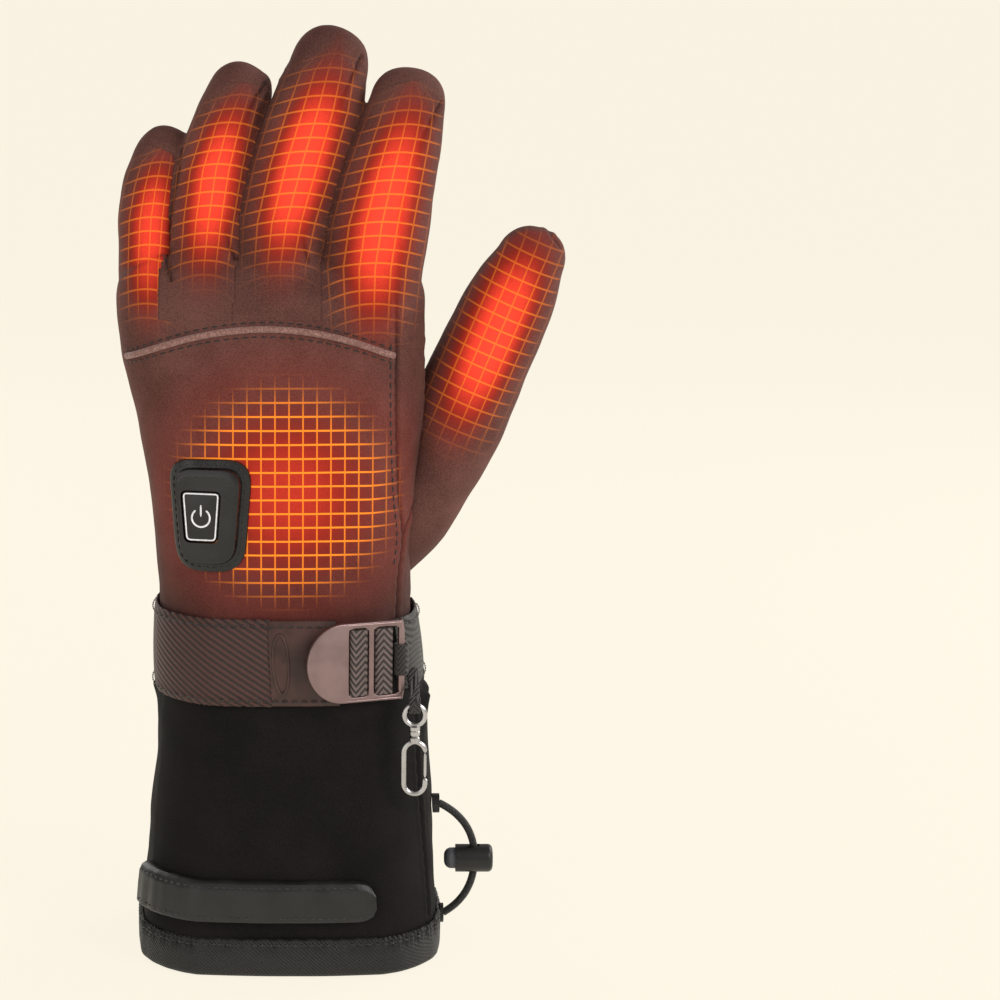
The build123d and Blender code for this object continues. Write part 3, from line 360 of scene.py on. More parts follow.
heated_cloth = cloth_finish("heated_cloth", tone(70, 42, 38), tone(114, 76, 70), 0.18, True)
heated_twill = cloth_finish("heated_twill", tone(62, 37, 33), tone(112, 74, 68), 0.15, True, twill=0.0013)
cuff_cloth_finish = cloth_finish("cuff_cloth", tone(9, 8, 8), tone(27, 24, 24), 0.03, False)
fleece = fleece_finish("fleece", tone(26, 25, 26), tone(58, 56, 58))
gloss_leather = leather_finish("gloss_leather", tone(10, 10, 11), tone(24, 24, 26), 0.26)
tab_leather = leather_finish("tab_leather", tone(50, 27, 24), tone(78, 48, 44), 0.4)
welt_leather = leather_finish("welt_leather", tone(18, 18, 19), tone(30, 30, 31), 0.4)
binding_tape = rib_finish("binding_tape", tone(5, 5, 5), tone(20, 19, 19), 0.9, 0.0012)
band_webbing = rib_finish("band_webbing", tone(30, 15, 13), tone(84, 49, 44), 0.62, 0.0021)
fold_webbing = rib_finish("fold_webbing", tone(18, 12, 12), tone(120, 104, 102), 1.3, 0.0022, 0.0026)
anchor_webbing = rib_finish("anchor_webbing", tone(16, 14, 14), tone(58, 53, 52), 1.3, 0.0018, 0.0024)
light_piping = cord_finish("light_piping", tone(128, 88, 82), tone(160, 120, 112))
buckle_metal = metal_finish("buckle_metal", tone(150, 128, 128), 0.42, 30.0)
hook_metal = metal_finish("hook_metal", tone(196, 194, 196), 0.24, 20.0)
zip_metal = metal_finish("zip_metal", tone(90, 90, 92), 0.35, 20.0)
black_plastic = plastic_finish("black_plastic", tone(10, 10, 10), tone(20, 20, 21), 0.38)
grey_plastic = plastic_finish("grey_plastic", tone(84, 86, 93), tone(104, 106, 114), 0.5)
key_plastic = plastic_finish("key_plastic", tone(8, 8, 9), tone(16, 16, 18), 0.3)
board_green = plastic_finish("board_green", tone(16, 66, 40), tone(24, 82, 50), 0.4)
heating_film = film_finish("heating_film", tone(44, 30, 24), tone(150, 92, 44))
black_cord = cord_finish("black_cord", tone(8, 8, 8), tone(40, 40, 41))
stitch_thread = cord_finish("stitch_thread", tone(14, 12, 12), tone(40, 34, 33))


def mark_finish():
    """Pale print that glows softly, with the print's faint unevenness."""
    finish, tree, shader = new_finish("key_mark", tone(224, 224, 228), 0.45)
    cloud = grain(tree, here(tree), 900, 2.0)
    print_colour = mixed(tree, ramp(tree, cloud, 0.2, 0.8), tone(205, 205, 210), tone(238, 238, 240))
    tree.links.new(print_colour, shader.inputs["Base Color"])
    tree.links.new(print_colour, shader.inputs["Emission Color"])
    shader.inputs["Emission Strength"].default_value = 0.25
    return finish


key_mark = mark_finish()

floor_finish, _, floor_shader = new_finish("pale_floor", tone(78, 76, 72), 0.9)
floor_shader.inputs["Specular IOR Level"].default_value = 0.0
floor_shader.inputs["Emission Color"].default_value = tone(255, 248, 232)
floor_shader.inputs["Emission Strength"].default_value = 0.92
floor_mesh = bpy.data.meshes.new("floor")
floor = bpy.data.objects.new("floor", floor_mesh)
floor_bm = bmesh.new()
bmesh.ops.create_grid(floor_bm, x_segments=1, y_segments=1, size=40)
bmesh.ops.translate(floor_bm, verts=floor_bm.verts, vec=(0, 0, -0.0002))
floor_bm.to_mesh(floor_mesh)
floor_mesh.materials.append(floor_finish)
scene.collection.objects.link(floor)


# ------------------------------------------------------------------ shaping tools
def finished(bm, name, finish, body=None, replaces=(), sharp=35):
    """The mesh as a named piece with its finish, riding on a body and standing for CAD nodes."""
    mesh = bpy.data.meshes.new(name)
    bm.to_mesh(mesh)
    bm.free()
    piece = bpy.data.objects.new(name, mesh)
    scene.collection.objects.link(piece)
    mesh.materials.append(finish)
    mesh.shade_smooth()
    if sharp:
        mesh.set_sharp_from_angle(angle=math.radians(sharp))
    if body:
        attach(piece, body)
    if replaces:
        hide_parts(*replaces)
    return piece


def oblong(cosine, sine, half_width, half_depth, corner):
    """A point on a rounded oblong, in the direction given."""
    flat_x = (half_width - corner) * max(-1.0, min(1.0, 3 * cosine))
    flat_y = (half_depth - corner) * max(-1.0, min(1.0, 3 * sine))
    return flat_x + corner * cosine, flat_y + corner * sine


def facing_out(bm):
    """The closed mesh with its faces pointing outwards."""
    if bm.calc_volume(signed=True) < 0:
        bmesh.ops.reverse_faces(bm, faces=bm.faces)
    return bm


def drum(rings, segments, place, caps=True):
    """A tube whose ring number k and direction are put in place by a function of both."""
    bm = bmesh.new()
    bmesh.ops.create_cone(
        bm, cap_ends=caps, segments=segments, radius1=1, radius2=1, depth=rings - 1
    )
    uprights = [e for e in bm.edges if abs(e.verts[0].co.z - e.verts[1].co.z) > 0.5]
    if rings > 2:
        bmesh.ops.subdivide_edges(bm, edges=uprights, cuts=rings - 2, use_grid_fill=True)
    for vert in bm.verts:
        level = round(vert.co.z + (rings - 1) / 2)
        vert.co = place(level, vert.co.x, vert.co.y)
    return facing_out(bm) if caps else bm


def joined(parts):
    """Several meshes as one."""
    whole = bmesh.new()
    for part in parts:
        mesh = bpy.data.meshes.new("part")
        part.to_mesh(mesh)
        part.free()
        whole.from_mesh(mesh)
        bpy.data.meshes.remove(mesh)
    return whole


def evaluated(bm, *modifiers):
    """The mesh after modifiers, each given as a kind and its settings."""
    mesh = bpy.data.meshes.new("work")
    bm.to_mesh(mesh)
    bm.free()
    work = bpy.data.objects.new("work", mesh)
    scene.collection.objects.link(work)
    for kind, settings in modifiers:
        modifier = work.modifiers.new(kind.lower(), kind)
        for name, value in settings.items():
            setattr(modifier, name, value)
    done = bpy.data.meshes.new_from_object(work.evaluated_get(bpy.context.evaluated_depsgraph_get()))
    bpy.data.objects.remove(work)
    result = bmesh.new()
    result.from_mesh(done)
    bpy.data.meshes.remove(done)
    return result


def walled(bm, thick):
    """A sheet given its thickness, inwards."""
    return evaluated(bm, ("SOLIDIFY", {"thickness": thick * MM, "offset": -1.0}))


def editable(mesh):
    """A working copy of mesh data."""
    bm = bmesh.new()
    bm.from_mesh(mesh)
    return bm


def mesh_of(bm):
    """A working mesh as mesh data."""
    mesh = bpy.data.meshes.new("cloth")
    bm.to_mesh(mesh)
    bm.free()
    return mesh


def places(mesh):
    """The vertices' places as an array, in millimetres."""
    flat = np.empty(len(mesh.vertices) * 3)
    mesh.vertices.foreach_get("co", flat)
    return flat.reshape(-1, 3) / MM


def put(mesh, points):
    """Moves the vertices to places given in millimetres."""
    mesh.vertices.foreach_set("co", (points * MM).ravel())
    mesh.update()


def normals(mesh):
    """The vertices' outward directions."""
    flat = np.empty(len(mesh.vertices) * 3)
    mesh.vertices.foreach_get("normal", flat)
    return flat.reshape(-1, 3)


def store(mesh, name, values, kind="FLOAT"):
    """Keeps a value or a vector for each vertex."""
    field = mesh.attributes.new(name, kind, "POINT")
    key = "value" if kind == "FLOAT" else "vector"
    field.data.foreach_set(key, np.asarray(values, np.float32).ravel())


def curve_through(points, count):
    """Evenly many places along a smooth line through a few points (Catmull and Rom's)."""
    known = np.array(points, float)
    known = np.vstack([2 * known[0] - known[1], known, 2 * known[-1] - known[-2]])
    line = []
    for t in np.linspace(0, len(points) - 1 - 1e-9, count):
        k = int(t)
        u = t - k
        a, b, c, d = known[k : k + 4]
        line.append(
            0.5 * (2 * b + (c - a) * u + (2 * a - 5 * b + 4 * c - d) * u**2 + (3 * b - a - 3 * c + d) * u**3)
        )
    return np.array(line)


# ------------------------------------------------------------------ the glove's shape
# Heights, in millimetres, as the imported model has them.
BAND_LOW = 88.0
BAND_HIGH = 116.0
CUFF_CUT = 112.0
HAND_CUT = 210.0
GATHER_Z = 94.0

# Height, centre x, half width, half depth and corner radius of each stage.
CUFF_STAGES = [
    (0.0, 0.2, 48.7, 39.5, 28.4),
    (14.0, 0.2, 48.7, 39.5, 28.6),
    (38.0, 0.8, 46.9, 37.4, 29.5),
    (65.0, 1.4, 45.0, 35.0, 30.0),
    (88.0, 0.3, 42.8, 32.0, 28.2),
    (108.0, -0.8, 41.4, 30.0, 26.4),
    (118.5, -1.2, 41.0, 29.2, 25.7),
]
HAND_STAGES = [
    (104.0, -0.6, 41.5, 30.3, 26.6),
    (118.5, -1.2, 41.0, 29.2, 25.7),
    (129.0, -1.5, 41.5, 28.7, 25.2),
    (150.0, -1.8, 43.1, 28.2, 24.8),
    (166.0, -2.6, 44.8, 27.4, 24.2),
    (182.0, -3.5, 46.6, 26.2, 23.2),
    (197.0, -4.9, 48.6, 24.2, 21.8),
    (208.0, -5.7, 49.5, 21.6, 19.8),
    (217.0, -6.0, 49.2, 18.0, 17.0),
    (224.0, -6.0, 46.5, 13.5, 13.0),
    (229.0, -5.5, 40.0, 7.5, 7.4),
]
# Each finger: places along it with height, x, y, half width and half depth, then its tip.
FINGER_STAGES = {
    "little": [
        (200, -44.0, 3.5, 9.5, 12.5), (226, -44.6, 5.0, 10.6, 11.0), (240, -43.8, 6.6, 11.2, 10.2),
        (250, -42.3, 7.6, 10.8, 9.8), (258, -40.6, 8.2, 9.8, 9.2), (268.6, -36.5, 8.8, 0, 0),
    ],
    "ring": [
        (200, -26.5, 0, 10.5, 13.5), (226, -26.8, 0.2, 11.9, 12.0), (240, -25.4, 1.2, 12.6, 11.0),
        (256, -23.0, 2.2, 13.0, 10.6), (270, -19.2, 3.0, 12.0, 10.0), (278, -16.2, 3.4, 10.4, 9.2),
        (288, -10.5, 3.8, 0, 0),
    ],
    "middle": [
        (200, -2.5, -2.5, 12.0, 14.0), (226, -2.8, -3.0, 12.9, 12.8), (240, -0.8, -2.6, 14.6, 11.8),
        (258, 4.0, -1.8, 15.8, 11.4), (274, 8.8, -0.8, 15.4, 11.0), (287, 12.2, 0, 13.4, 10.2),
        (300, 17.0, 0.4, 0, 0),
    ],
    "index": [
        (200, 26.5, -3.5, 13.5, 14.0), (226, 27.0, -4.8, 15.8, 13.4), (240, 29.0, -5.4, 16.2, 12.6),
        (256, 32.6, -4.8, 15.2, 12.2), (268, 35.6, -3.8, 13.9, 11.6), (277, 37.6, -2.8, 12.3, 10.8),
        (287.8, 38.6, -2.0, 0, 0),
    ],
}
SHINGLE = 21.0  # how far the fingers roll, so that each laps over its neighbour, in degrees
THUMB_ROOT = Vector((44.0, 8.0, 150.0))
THUMB_TIP = Vector((80.5, 5.0, 235.7))
THUMB_WAY = (THUMB_TIP - THUMB_ROOT).normalized()
THUMB_SIDE = Vector((THUMB_WAY.z, 0, -THUMB_WAY.x)).normalized()
THUMB_FRONT = THUMB_WAY.cross(THUMB_SIDE)
# Distance along the thumb, sideways shift, half width, half depth.
THUMB_STAGES = [
    (-44, -13.0, 5.0, 13.0), (-30, -7.0, 11.0, 19.0), (-14, -1.2, 12.4, 21.5), (4, 0.4, 14.0, 21.0),
    (24, 0.4, 15.6, 18.8), (42, 0.2, 15.9, 16.4), (60, 0.3, 14.9, 14.6), (74, 0.6, 13.2, 13.0),
    (83, 1.2, 11.0, 11.0), (94, 1.6, 0, 0),
]


def ring_at(stages, z, grow=0.0):
    """The cross-section at a height: centre x, half width, half depth, corner radius."""
    heights = [stage[0] for stage in stages]
    values = [np.interp(z, heights, [stage[k] for stage in stages]) for k in range(1, 5)]
    return values[0], values[1] + grow, values[2] + grow, values[3] + grow


def on_ring(stages, z, cosine, sine, grow=0.0):
    """A point on the glove's side at a height and in a direction, in millimetres."""
    x, half_width, half_depth, corner = ring_at(stages, z, grow)
    along, through = oblong(cosine, sine, half_width, half_depth, corner)
    return Vector((x + along, through, z))


def cuff_spot(turn, z, out):
    """A point on the cuff's side in a direction, out from it by a distance, in millimetres."""
    return on_ring(CUFF_STAGES, z, math.cos(turn), math.sin(turn), out)


def rounded_tip(body, tip, fullness):
    """A finger's stations with its round end added, each station ending in two half sizes."""
    last, tip = body[-1], np.array(tip, float)
    dome = []
    for turn in np.linspace(0.18, 1.0, 7) * math.pi / 2:
        station = last + (tip - last) * math.sin(turn)
        station[-2:] = last[-2:] * max(math.cos(turn), 0.02) ** fullness
        dome.append(station)
    return np.vstack([body, dome])


def hand_volume():
    """The hand from the wrist to the webs between the fingers."""
    line = curve_through(HAND_STAGES, 34)

    def place(level, cosine, sine):
        z, x, half_width, half_depth, corner = line[level]
        along, through = oblong(cosine, sine, half_width, half_depth, corner)
        return mm(x + along, through, z)

    return drum(len(line), 72, place)


def finger_volume(stages):
    """One finger, rolled a little about its own length, with a rounded tip."""
    line = rounded_tip(curve_through(stages[:-1], 22), stages[-1], 0.8)
    ahead = np.gradient(line[:, [1, 2, 0]], axis=0)

    def place(level, cosine, sine):
        z, x, y, half_width, half_depth = line[level]
        way = Vector(ahead[level]).normalized()
        side = Vector((way.z, 0, -way.x)).normalized()
        front = way.cross(side)
        roll = math.radians(SHINGLE) * float(smooth_step(z, 224, 250))
        lean = Matrix.Rotation(roll, 3, way)
        across = lean @ side * (half_width * cosine)
        return (Vector((x, y, z)) + across + lean @ front * (half_depth * sine)) * MM

    return drum(len(line), 40, place)


def thumb_volume():
    """The thumb with its gusset, along its own length."""
    line = rounded_tip(curve_through(THUMB_STAGES[:-1], 30), THUMB_STAGES[-1], 0.85)

    def place(level, cosine, sine):
        along, shift, half_width, half_depth = line[level]
        side = THUMB_SIDE * (shift + half_width * cosine)
        return (THUMB_ROOT + THUMB_WAY * along + side + THUMB_FRONT * (half_depth * sine)) * MM

    return drum(len(line), 56, place)


def remeshed(bm, size, smoothing):
    """One even skin round overlapping volumes, with its creases softened."""
    return evaluated(
        bm,
        ("REMESH", {"mode": "VOXEL", "voxel_size": size * MM}),
        ("SMOOTH", {"factor": 0.5, "iterations": smoothing}),
    )


CLOTH_GRID = 0.8  # size of the cloth's faces, in millimetres
CLOTH_THICK = 1.0
FLEECE_THICK = 3.6
FILM_THICK = 0.2

hand_skin = joined([hand_volume()] + [finger_volume(stages) for stages in FINGER_STAGES.values()])
hand_skin = remeshed(hand_skin, CLOTH_GRID, 14)
thumb_skin = remeshed(thumb_volume(), CLOTH_GRID, 4)


# ------------------------------------------------------------------ seams, folds and painted heat glow
SEAM_STEP = 0.4  # between the places that mark a seam, in millimetres
SIDE_SEAM_X = 34.0
# Seams on the back of the hand as x and z of a few places, and on the palm side.
BACK_SEAMS = [
    [(47.5, 277), (41, 265), (36.5, 252), (34.2, 240), (SIDE_SEAM_X, 210), (SIDE_SEAM_X, 180),
     (35.0, 155), (36.5, 140), (35.2, 128), (34.5, 113)],
    [(22.5, 291), (16.5, 277), (10, 262), (5.8, 248), (4.6, 236), (6.2, 228)],
    [(-6.5, 284), (-11.5, 276), (-15.2, 264), (-18.2, 248), (-19.4, 236), (-17.0, 228)],
    [(-34.0, 262), (-36.0, 250), (-38.0, 238), (-38.6, 228), (-37.2, 222)],
    [(43.2, 200), (43.0, 185), (42.6, 165), (40.4, 152), (36.5, 140)],
]
PALM_SEAMS = [
    [(-49, 248), (-47, 256), (-42, 260.5), (-37, 258), (-34.5, 252)],
    [(-31, 266), (-27, 274), (-19.5, 279), (-12, 276), (-8.5, 268)],
    [(-4.5, 282), (0.5, 288), (9, 291.5), (19, 288), (23, 279)],
    [(25.5, 270), (29, 276), (36, 279.5), (43, 276), (46.5, 268)],
    [(-53, 214), (-44, 219), (-30, 217), (-8, 223), (12, 219), (30, 222), (42, 214)],
    [(36.5, 200), (35, 175), (24, 158), (14, 132), (10.5, 113)],
]
CUFF_SEAM = [(41.5, 96), (41.0, 80), (42.0, 60), (44.5, 30), (45.6, 15)]


def laid_on(tree, corners, side, step=SEAM_STEP):
    """Places along a smooth line drawn on the cloth, seen from the back (-1) or the palm (1)."""
    rough = curve_through(corners, 60)
    lengths = np.r_[0, np.cumsum(np.linalg.norm(np.diff(rough, axis=0), axis=1))]
    even = np.arange(0, lengths[-1], step)
    found = []
    for x, z in zip(np.interp(even, lengths, rough[:, 0]), np.interp(even, lengths, rough[:, 1])):
        hit, normal, _, _ = tree.ray_cast(mm(x, side * 200, z), Vector((0, -side, 0)))
        if hit is not None:
            found.append((hit / MM, normal))
    return found


def sew(mesh, lines, depth=0.6):
    """Sinks seam lines into the cloth, with a soft welt each side, and keeps where they are."""
    marks = [(index * SEAM_STEP, place) for line in lines for index, (place, _) in enumerate(line)]
    finder = kdtree.KDTree(len(marks))
    for index, (_, place) in enumerate(marks):
        finder.insert(place, index)
    finder.balance()
    points, outward = places(mesh), normals(mesh)
    away = np.full(len(points), 99.0)
    along = np.zeros(len(points))
    for k, point in enumerate(points):
        _, index, distance = finder.find(Vector(point))
        away[k] = distance
        along[k] = marks[index][0]
    pucker = 0.16 * np.cos(along * 1.45) * bell(away, 0, 3.0)
    welt = 0.28 * bell(away, 1.9, 0.9)
    move = welt + pucker - depth * bell(away, 0, 0.75)
    put(mesh, points + outward * move[:, None])
    store(mesh, "seam", bell(away, 0, 0.62))


def ruffle(points, outward):
    """Folds of the loose cloth: gathers at the wrist elastic and soft creases elsewhere."""
    moves = np.zeros(len(points))
    for k, (x, y, z) in enumerate(points):
        turn = math.atan2(y, x)
        loose = float(smooth_step(y, -14, 8)) if x < 30 else float(smooth_step(y, -26, -12))
        strapped = float(smooth_step(z, 85, 89)) * (1 - float(smooth_step(z, 116, 120)))
        loose *= 1 - strapped * (1 - float(smooth_step(y, 7, 12)))
        reach = 16.0 if z > GATHER_Z else 13.0
        gather = math.exp(-(((z - GATHER_Z) / reach) ** 2)) * loose
        wander = noise.noise(Vector((turn * 2.3, z * 0.03, 1.7)))
        pleat = math.cos(turn * 19 + 5 * wander) + 0.5 * math.cos(turn * 31 - z * 0.12 + 3 * wander)
        pinch = math.exp(-(((z - GATHER_Z) / 3.4) ** 2)) * loose
        crease = noise.noise(Vector((x * 0.035, y * 0.035, z * 0.05)))
        fold = noise.noise(Vector((x * 0.09, y * 0.09, z * 0.12 + 7)))
        moves[k] = gather * (1.9 * pleat + 2.4) - 4.4 * pinch + 0.75 * crease + 0.28 * fold
    return points + outward * moves[:, None]


def finger_at(name, z):
    """A finger's centre, half width, half depth and roll at heights."""
    stages = FINGER_STAGES[name]
    heights = [stage[0] for stage in stages]
    found = [np.interp(z, heights, [stage[k] for stage in stages]) for k in range(1, 5)]
    return (*found, math.radians(SHINGLE) * smooth_step(z, 224, 250))


def finger_distance(name, points):
    """How far points are from a finger's middle, as a share of its thickness, and how far across."""
    x, y, half_width, half_depth, roll = finger_at(name, points[:, 2])
    dx, dy = points[:, 0] - x, points[:, 1] - y
    across = (dx * np.cos(roll) + dy * np.sin(roll)) / np.maximum(half_width, 0.01)
    through = (dy * np.cos(roll) - dx * np.sin(roll)) / np.maximum(half_depth, 0.01)
    return np.hypot(across, through), dx / np.maximum(half_width, 4.0)


# Middle height, half length and strength of the painted heat glow in each finger.
FINGER_GLOW = {
    "little": (236, 24, 0.82), "ring": (251, 26, 0.9), "middle": (257, 30, 0.94), "index": (243, 34, 0.94),
}
# Middle of the thumb's painted heat glow.
THUMB_GLOW_MIDDLE = 58.0  # along the thumb from its root
GRID_PITCH = 4.4
FINGER_GRID = 4.3
# Centre x and z and reach x and z of the painted heat glow on the back and on the palm.
BACK_GLOW = (-1.0, 156.0, 38.0, 37.0)
PALM_GLOW = (-2.0, 166.0, 38.0, 37.0)


def fading(across, along, edge_across, edge_along):
    """1 in the middle of a heated patch, gone past 1 either way; a higher edge falls sharper."""
    return np.exp(-(np.abs(across) ** edge_across)) * np.exp(-(np.abs(along) ** edge_along))


def paint_hand_glow(mesh, finger=None, swapped=False):
    """Keeps the painted heat glow and the heating grid's glowing lines on the hand or on one finger.

    Swapped, the palm side takes the painted glow of the back.
    """
    points, outward = places(mesh), normals(mesh)
    x, z = points[:, 0], points[:, 2]
    palmward = -outward[:, 1] if swapped else outward[:, 1]
    back = smooth_step(-palmward, 0.12, 0.6)
    palm = smooth_step(palmward, 0.12, 0.6)
    glow_amount = np.zeros(len(points))
    strength = np.zeros(len(points))
    grid_x, grid_z = x / GRID_PITCH, z / GRID_PITCH
    for facing, (middle_x, middle_z, reach_x, reach_z) in ((back, BACK_GLOW), (palm, PALM_GLOW)):
        away = np.hypot((x - middle_x) / reach_x, (z - middle_z) / reach_z)
        glow_amount = np.maximum(glow_amount, facing * 0.62 * (1 - smooth_step(away, 0.1, 1.3)))
        glow_amount = np.maximum(glow_amount, facing * 0.2 * (1 - smooth_step(away, 0.9, 1.75)))
        strength = np.maximum(strength, facing * (1 - smooth_step(away, 0.62, 1.06)))
    best = np.zeros(len(points))
    for name, (middle_z, reach, power) in FINGER_GLOW.items():
        if finger not in (None, name):
            continue
        _, across = finger_distance(name, points)
        along = (z - middle_z) / reach
        facing = smooth_step(np.abs(outward[:, 1]), 0.05, 0.55)
        here_glow = power * fading(across / 0.66, along, 2.4, 2.6) * facing
        lit = facing * fading(across / 0.95, along, 6, 5)
        stronger = here_glow > best
        grid_x = np.where(stronger & (z > 205), across * 3.2, grid_x)
        grid_z = np.where(stronger & (z > 205), (z + 3.4 * across**2) / FINGER_GRID, grid_z)
        best = np.maximum(best, here_glow)
        glow_amount = np.maximum(glow_amount, here_glow)
        strength = np.maximum(strength, 0.45 * lit)
    store(mesh, "heat_glow", glow_amount)
    store(mesh, "grid_place", np.stack([grid_x, grid_z, strength], axis=1), "FLOAT_VECTOR")
    store(mesh, "cloth_place", points * MM, "FLOAT_VECTOR")


def paint_thumb_glow(mesh):
    """Keeps the painted heat glow and the grid's glowing lines on the thumb."""
    points, outward = places(mesh), normals(mesh)
    away = points - np.array(THUMB_ROOT)
    along = away @ np.array(THUMB_WAY)
    across = away @ np.array(THUMB_SIDE)
    facing = smooth_step(np.abs(outward[:, 1]), 0.05, 0.5)
    past_middle = along - THUMB_GLOW_MIDDLE
    glow_amount = fading((across + 1.5) / 10.0, past_middle / 31, 2.4, 2.5) * facing
    strength = fading((across + 1) / 13.5, past_middle / 33, 6, 5) * facing
    store(mesh, "heat_glow", glow_amount)
    grid = np.stack([across / GRID_PITCH, along / FINGER_GRID, 0.45 * strength], axis=1)
    store(mesh, "grid_place", grid, "FLOAT_VECTOR")
    store(mesh, "cloth_place", points * MM, "FLOAT_VECTOR")


def closed(bm, above):
    """Fills the openings that are above a height."""
    edges = [e for e in bm.edges if e.is_boundary and min(v.co.z for v in e.verts) > above * MM]
    made = bmesh.ops.holes_fill(bm, edges=edges, sides=0)
    bmesh.ops.triangulate(bm, faces=made["faces"])
    return bm


def cloth_tree(mesh):
    """A finder for rays on a mesh."""
    bm = editable(mesh)
    tree = BVHTree.FromBMesh(bm)
    bm.free()
    return tree


def draped(bm):
    """The cloth as mesh data, with its folds."""
    mesh = mesh_of(bm)
    put(mesh, ruffle(places(mesh), normals(mesh)))
    return mesh


# ------------------------------------------------------------------ hand, fingers and thumb
hand_mesh = draped(hand_skin)
hand_tree = cloth_tree(hand_mesh)
hand_seams = [laid_on(hand_tree, line, -1) for line in BACK_SEAMS]
hand_seams += [laid_on(hand_tree, line, 1) for line in PALM_SEAMS]
sew(hand_mesh, hand_seams)
hand_tree = cloth_tree(hand_mesh)

whole_hand = editable(hand_mesh)
for height, drop_below in ((CUFF_CUT, True), (HAND_CUT, False)):
    bmesh.ops.bisect_plane(
        whole_hand,
        geom=[*whole_hand.verts, *whole_hand.edges, *whole_hand.faces],
        plane_co=mm(0, 0, height),
        plane_no=(0, 0, 1),
        clear_inner=drop_below,
    )
finger_names = list(FINGER_STAGES)
middles = np.array([face.calc_center_median() for face in whole_hand.faces]) / MM
nearest = np.argmin([finger_distance(name, middles)[0] for name in finger_names], axis=0)
labels = np.where(middles[:, 2] < HAND_CUT, -1, nearest)


def part_of_hand(label):
    """The faces of the whole hand that belong to one finger, or to the hand for -1."""
    part = whole_hand.copy()
    part.faces.ensure_lookup_table()
    others = [face for face, mark in zip(part.faces, labels) if mark != label]
    bmesh.ops.delete(part, geom=others, context="FACES")
    return part


hand_part = walled(closed(part_of_hand(-1), above=CUFF_CUT + 20), CLOTH_THICK)
hand_cloth = finished(
    hand_part, "hand_cloth", heated_cloth, sharp=0,
    replaces=["knuckle_yoke", "back_panel", "index_side_panel", "palm_panel", "wrist_sleeve"],
)
paint_hand_glow(hand_cloth.data)
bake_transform(hand_cloth)

for label, name in enumerate(finger_names):
    finger = finished(
        walled(part_of_hand(label), CLOTH_THICK), f"{name}_cloth", heated_cloth, sharp=0,
        replaces=[f"{name}_shell", f"{name}_lining", f"{name}_knuckle_sleeve"],
    )
    paint_hand_glow(finger.data, name)
    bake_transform(finger)

THUMB_SEAMS = [
    [(77.5, 239), (82, 237), (86.5, 231)],
    [(58.5, 222), (66, 231.5), (75, 237.5)],
]
thumb_mesh = draped(thumb_skin)
thumb_tree = cloth_tree(thumb_mesh)
sew(thumb_mesh, [laid_on(thumb_tree, line, side) for line in THUMB_SEAMS for side in (-1, 1)])
thumb_cloth = finished(
    editable(thumb_mesh), "thumb_cloth", heated_cloth, sharp=0,
    replaces=["thumb_gusset", "thumb_shell", "thumb_lining", "thumb_knuckle_sleeve"],
)
paint_thumb_glow(thumb_cloth.data)
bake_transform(thumb_cloth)


# ------------------------------------------------------------------ cuff
CUFF_FOOT = 1.0
CUFF_TOP = 115.0
CUFF_LEVELS = 150


def cuff_place(level, cosine, sine):
    """A place on the cuff's cloth, whose top is tucked in under the hand's."""
    z = CUFF_FOOT + (CUFF_TOP - CUFF_FOOT) * level / (CUFF_LEVELS - 1)
    tuck = -1.3 * float(smooth_step(z, 110.5, 112.5))
    return on_ring(CUFF_STAGES, z, cosine, sine, tuck) * MM


cuff_mesh = draped(drum(CUFF_LEVELS, 290, cuff_place, caps=False))
sew(cuff_mesh, [laid_on(cloth_tree(cuff_mesh), CUFF_SEAM, -1)])
cuff_part = walled(editable(cuff_mesh), CLOTH_THICK)
cuff_cloth = finished(
    cuff_part, "cuff_cloth", cuff_cloth_finish, "cuff", ["cuff_shell"], sharp=0
)
store(cuff_cloth.data, "cloth_place", places(cuff_cloth.data) * MM, "FLOAT_VECTOR")


# ------------------------------------------------------------------ tools for trims
# A drawing plane is its origin, its ways across and up, and the way it faces.
BACK_AXES = (Vector((1, 0, 0)), Vector((0, 0, 1)), Vector((0, -1, 0)))
PALM_VIEW = (Vector((0, 0, 0)), Vector((1, 0, 0)), Vector((0, 0, 1)), Vector((0, 1, 0)))
CONTROL_TILT = math.radians(12)
CONTROL_WAY = Vector((math.cos(CONTROL_TILT), -math.sin(CONTROL_TILT), 0))
CONTROL_FACE = Vector((-math.sin(CONTROL_TILT), -math.cos(CONTROL_TILT), 0))
CONTROL_VIEW = (Vector((-25.28, -27.46, 149)), CONTROL_WAY, Vector((0, 0, 1)), CONTROL_FACE)
BUCKLE_TILT = math.radians(18)
BUCKLE_VIEW = (
    Vector((20.5, -33.7, 103)),
    Vector((math.cos(BUCKLE_TILT), math.sin(BUCKLE_TILT), 0)),
    Vector((0, 0, 1)),
    Vector((math.sin(BUCKLE_TILT), -math.cos(BUCKLE_TILT), 0)),
)


def in_view(view, across, up, out=0.0):
    """A point given on a drawing plane and a height above it, in millimetres."""
    origin, way, upright, face = view
    return origin + way * across + upright * up + face * out


def landed(tree, view, across, up, out=0.0):
    """Where a point of the drawing lands on the cloth, then raised towards the viewer."""
    face = view[3]
    hit, _, _, _ = tree.ray_cast(in_view(view, across, up, 150) * MM, -face)
    spot = in_view(view, across, up) if hit is None else hit / MM
    return spot + face * out


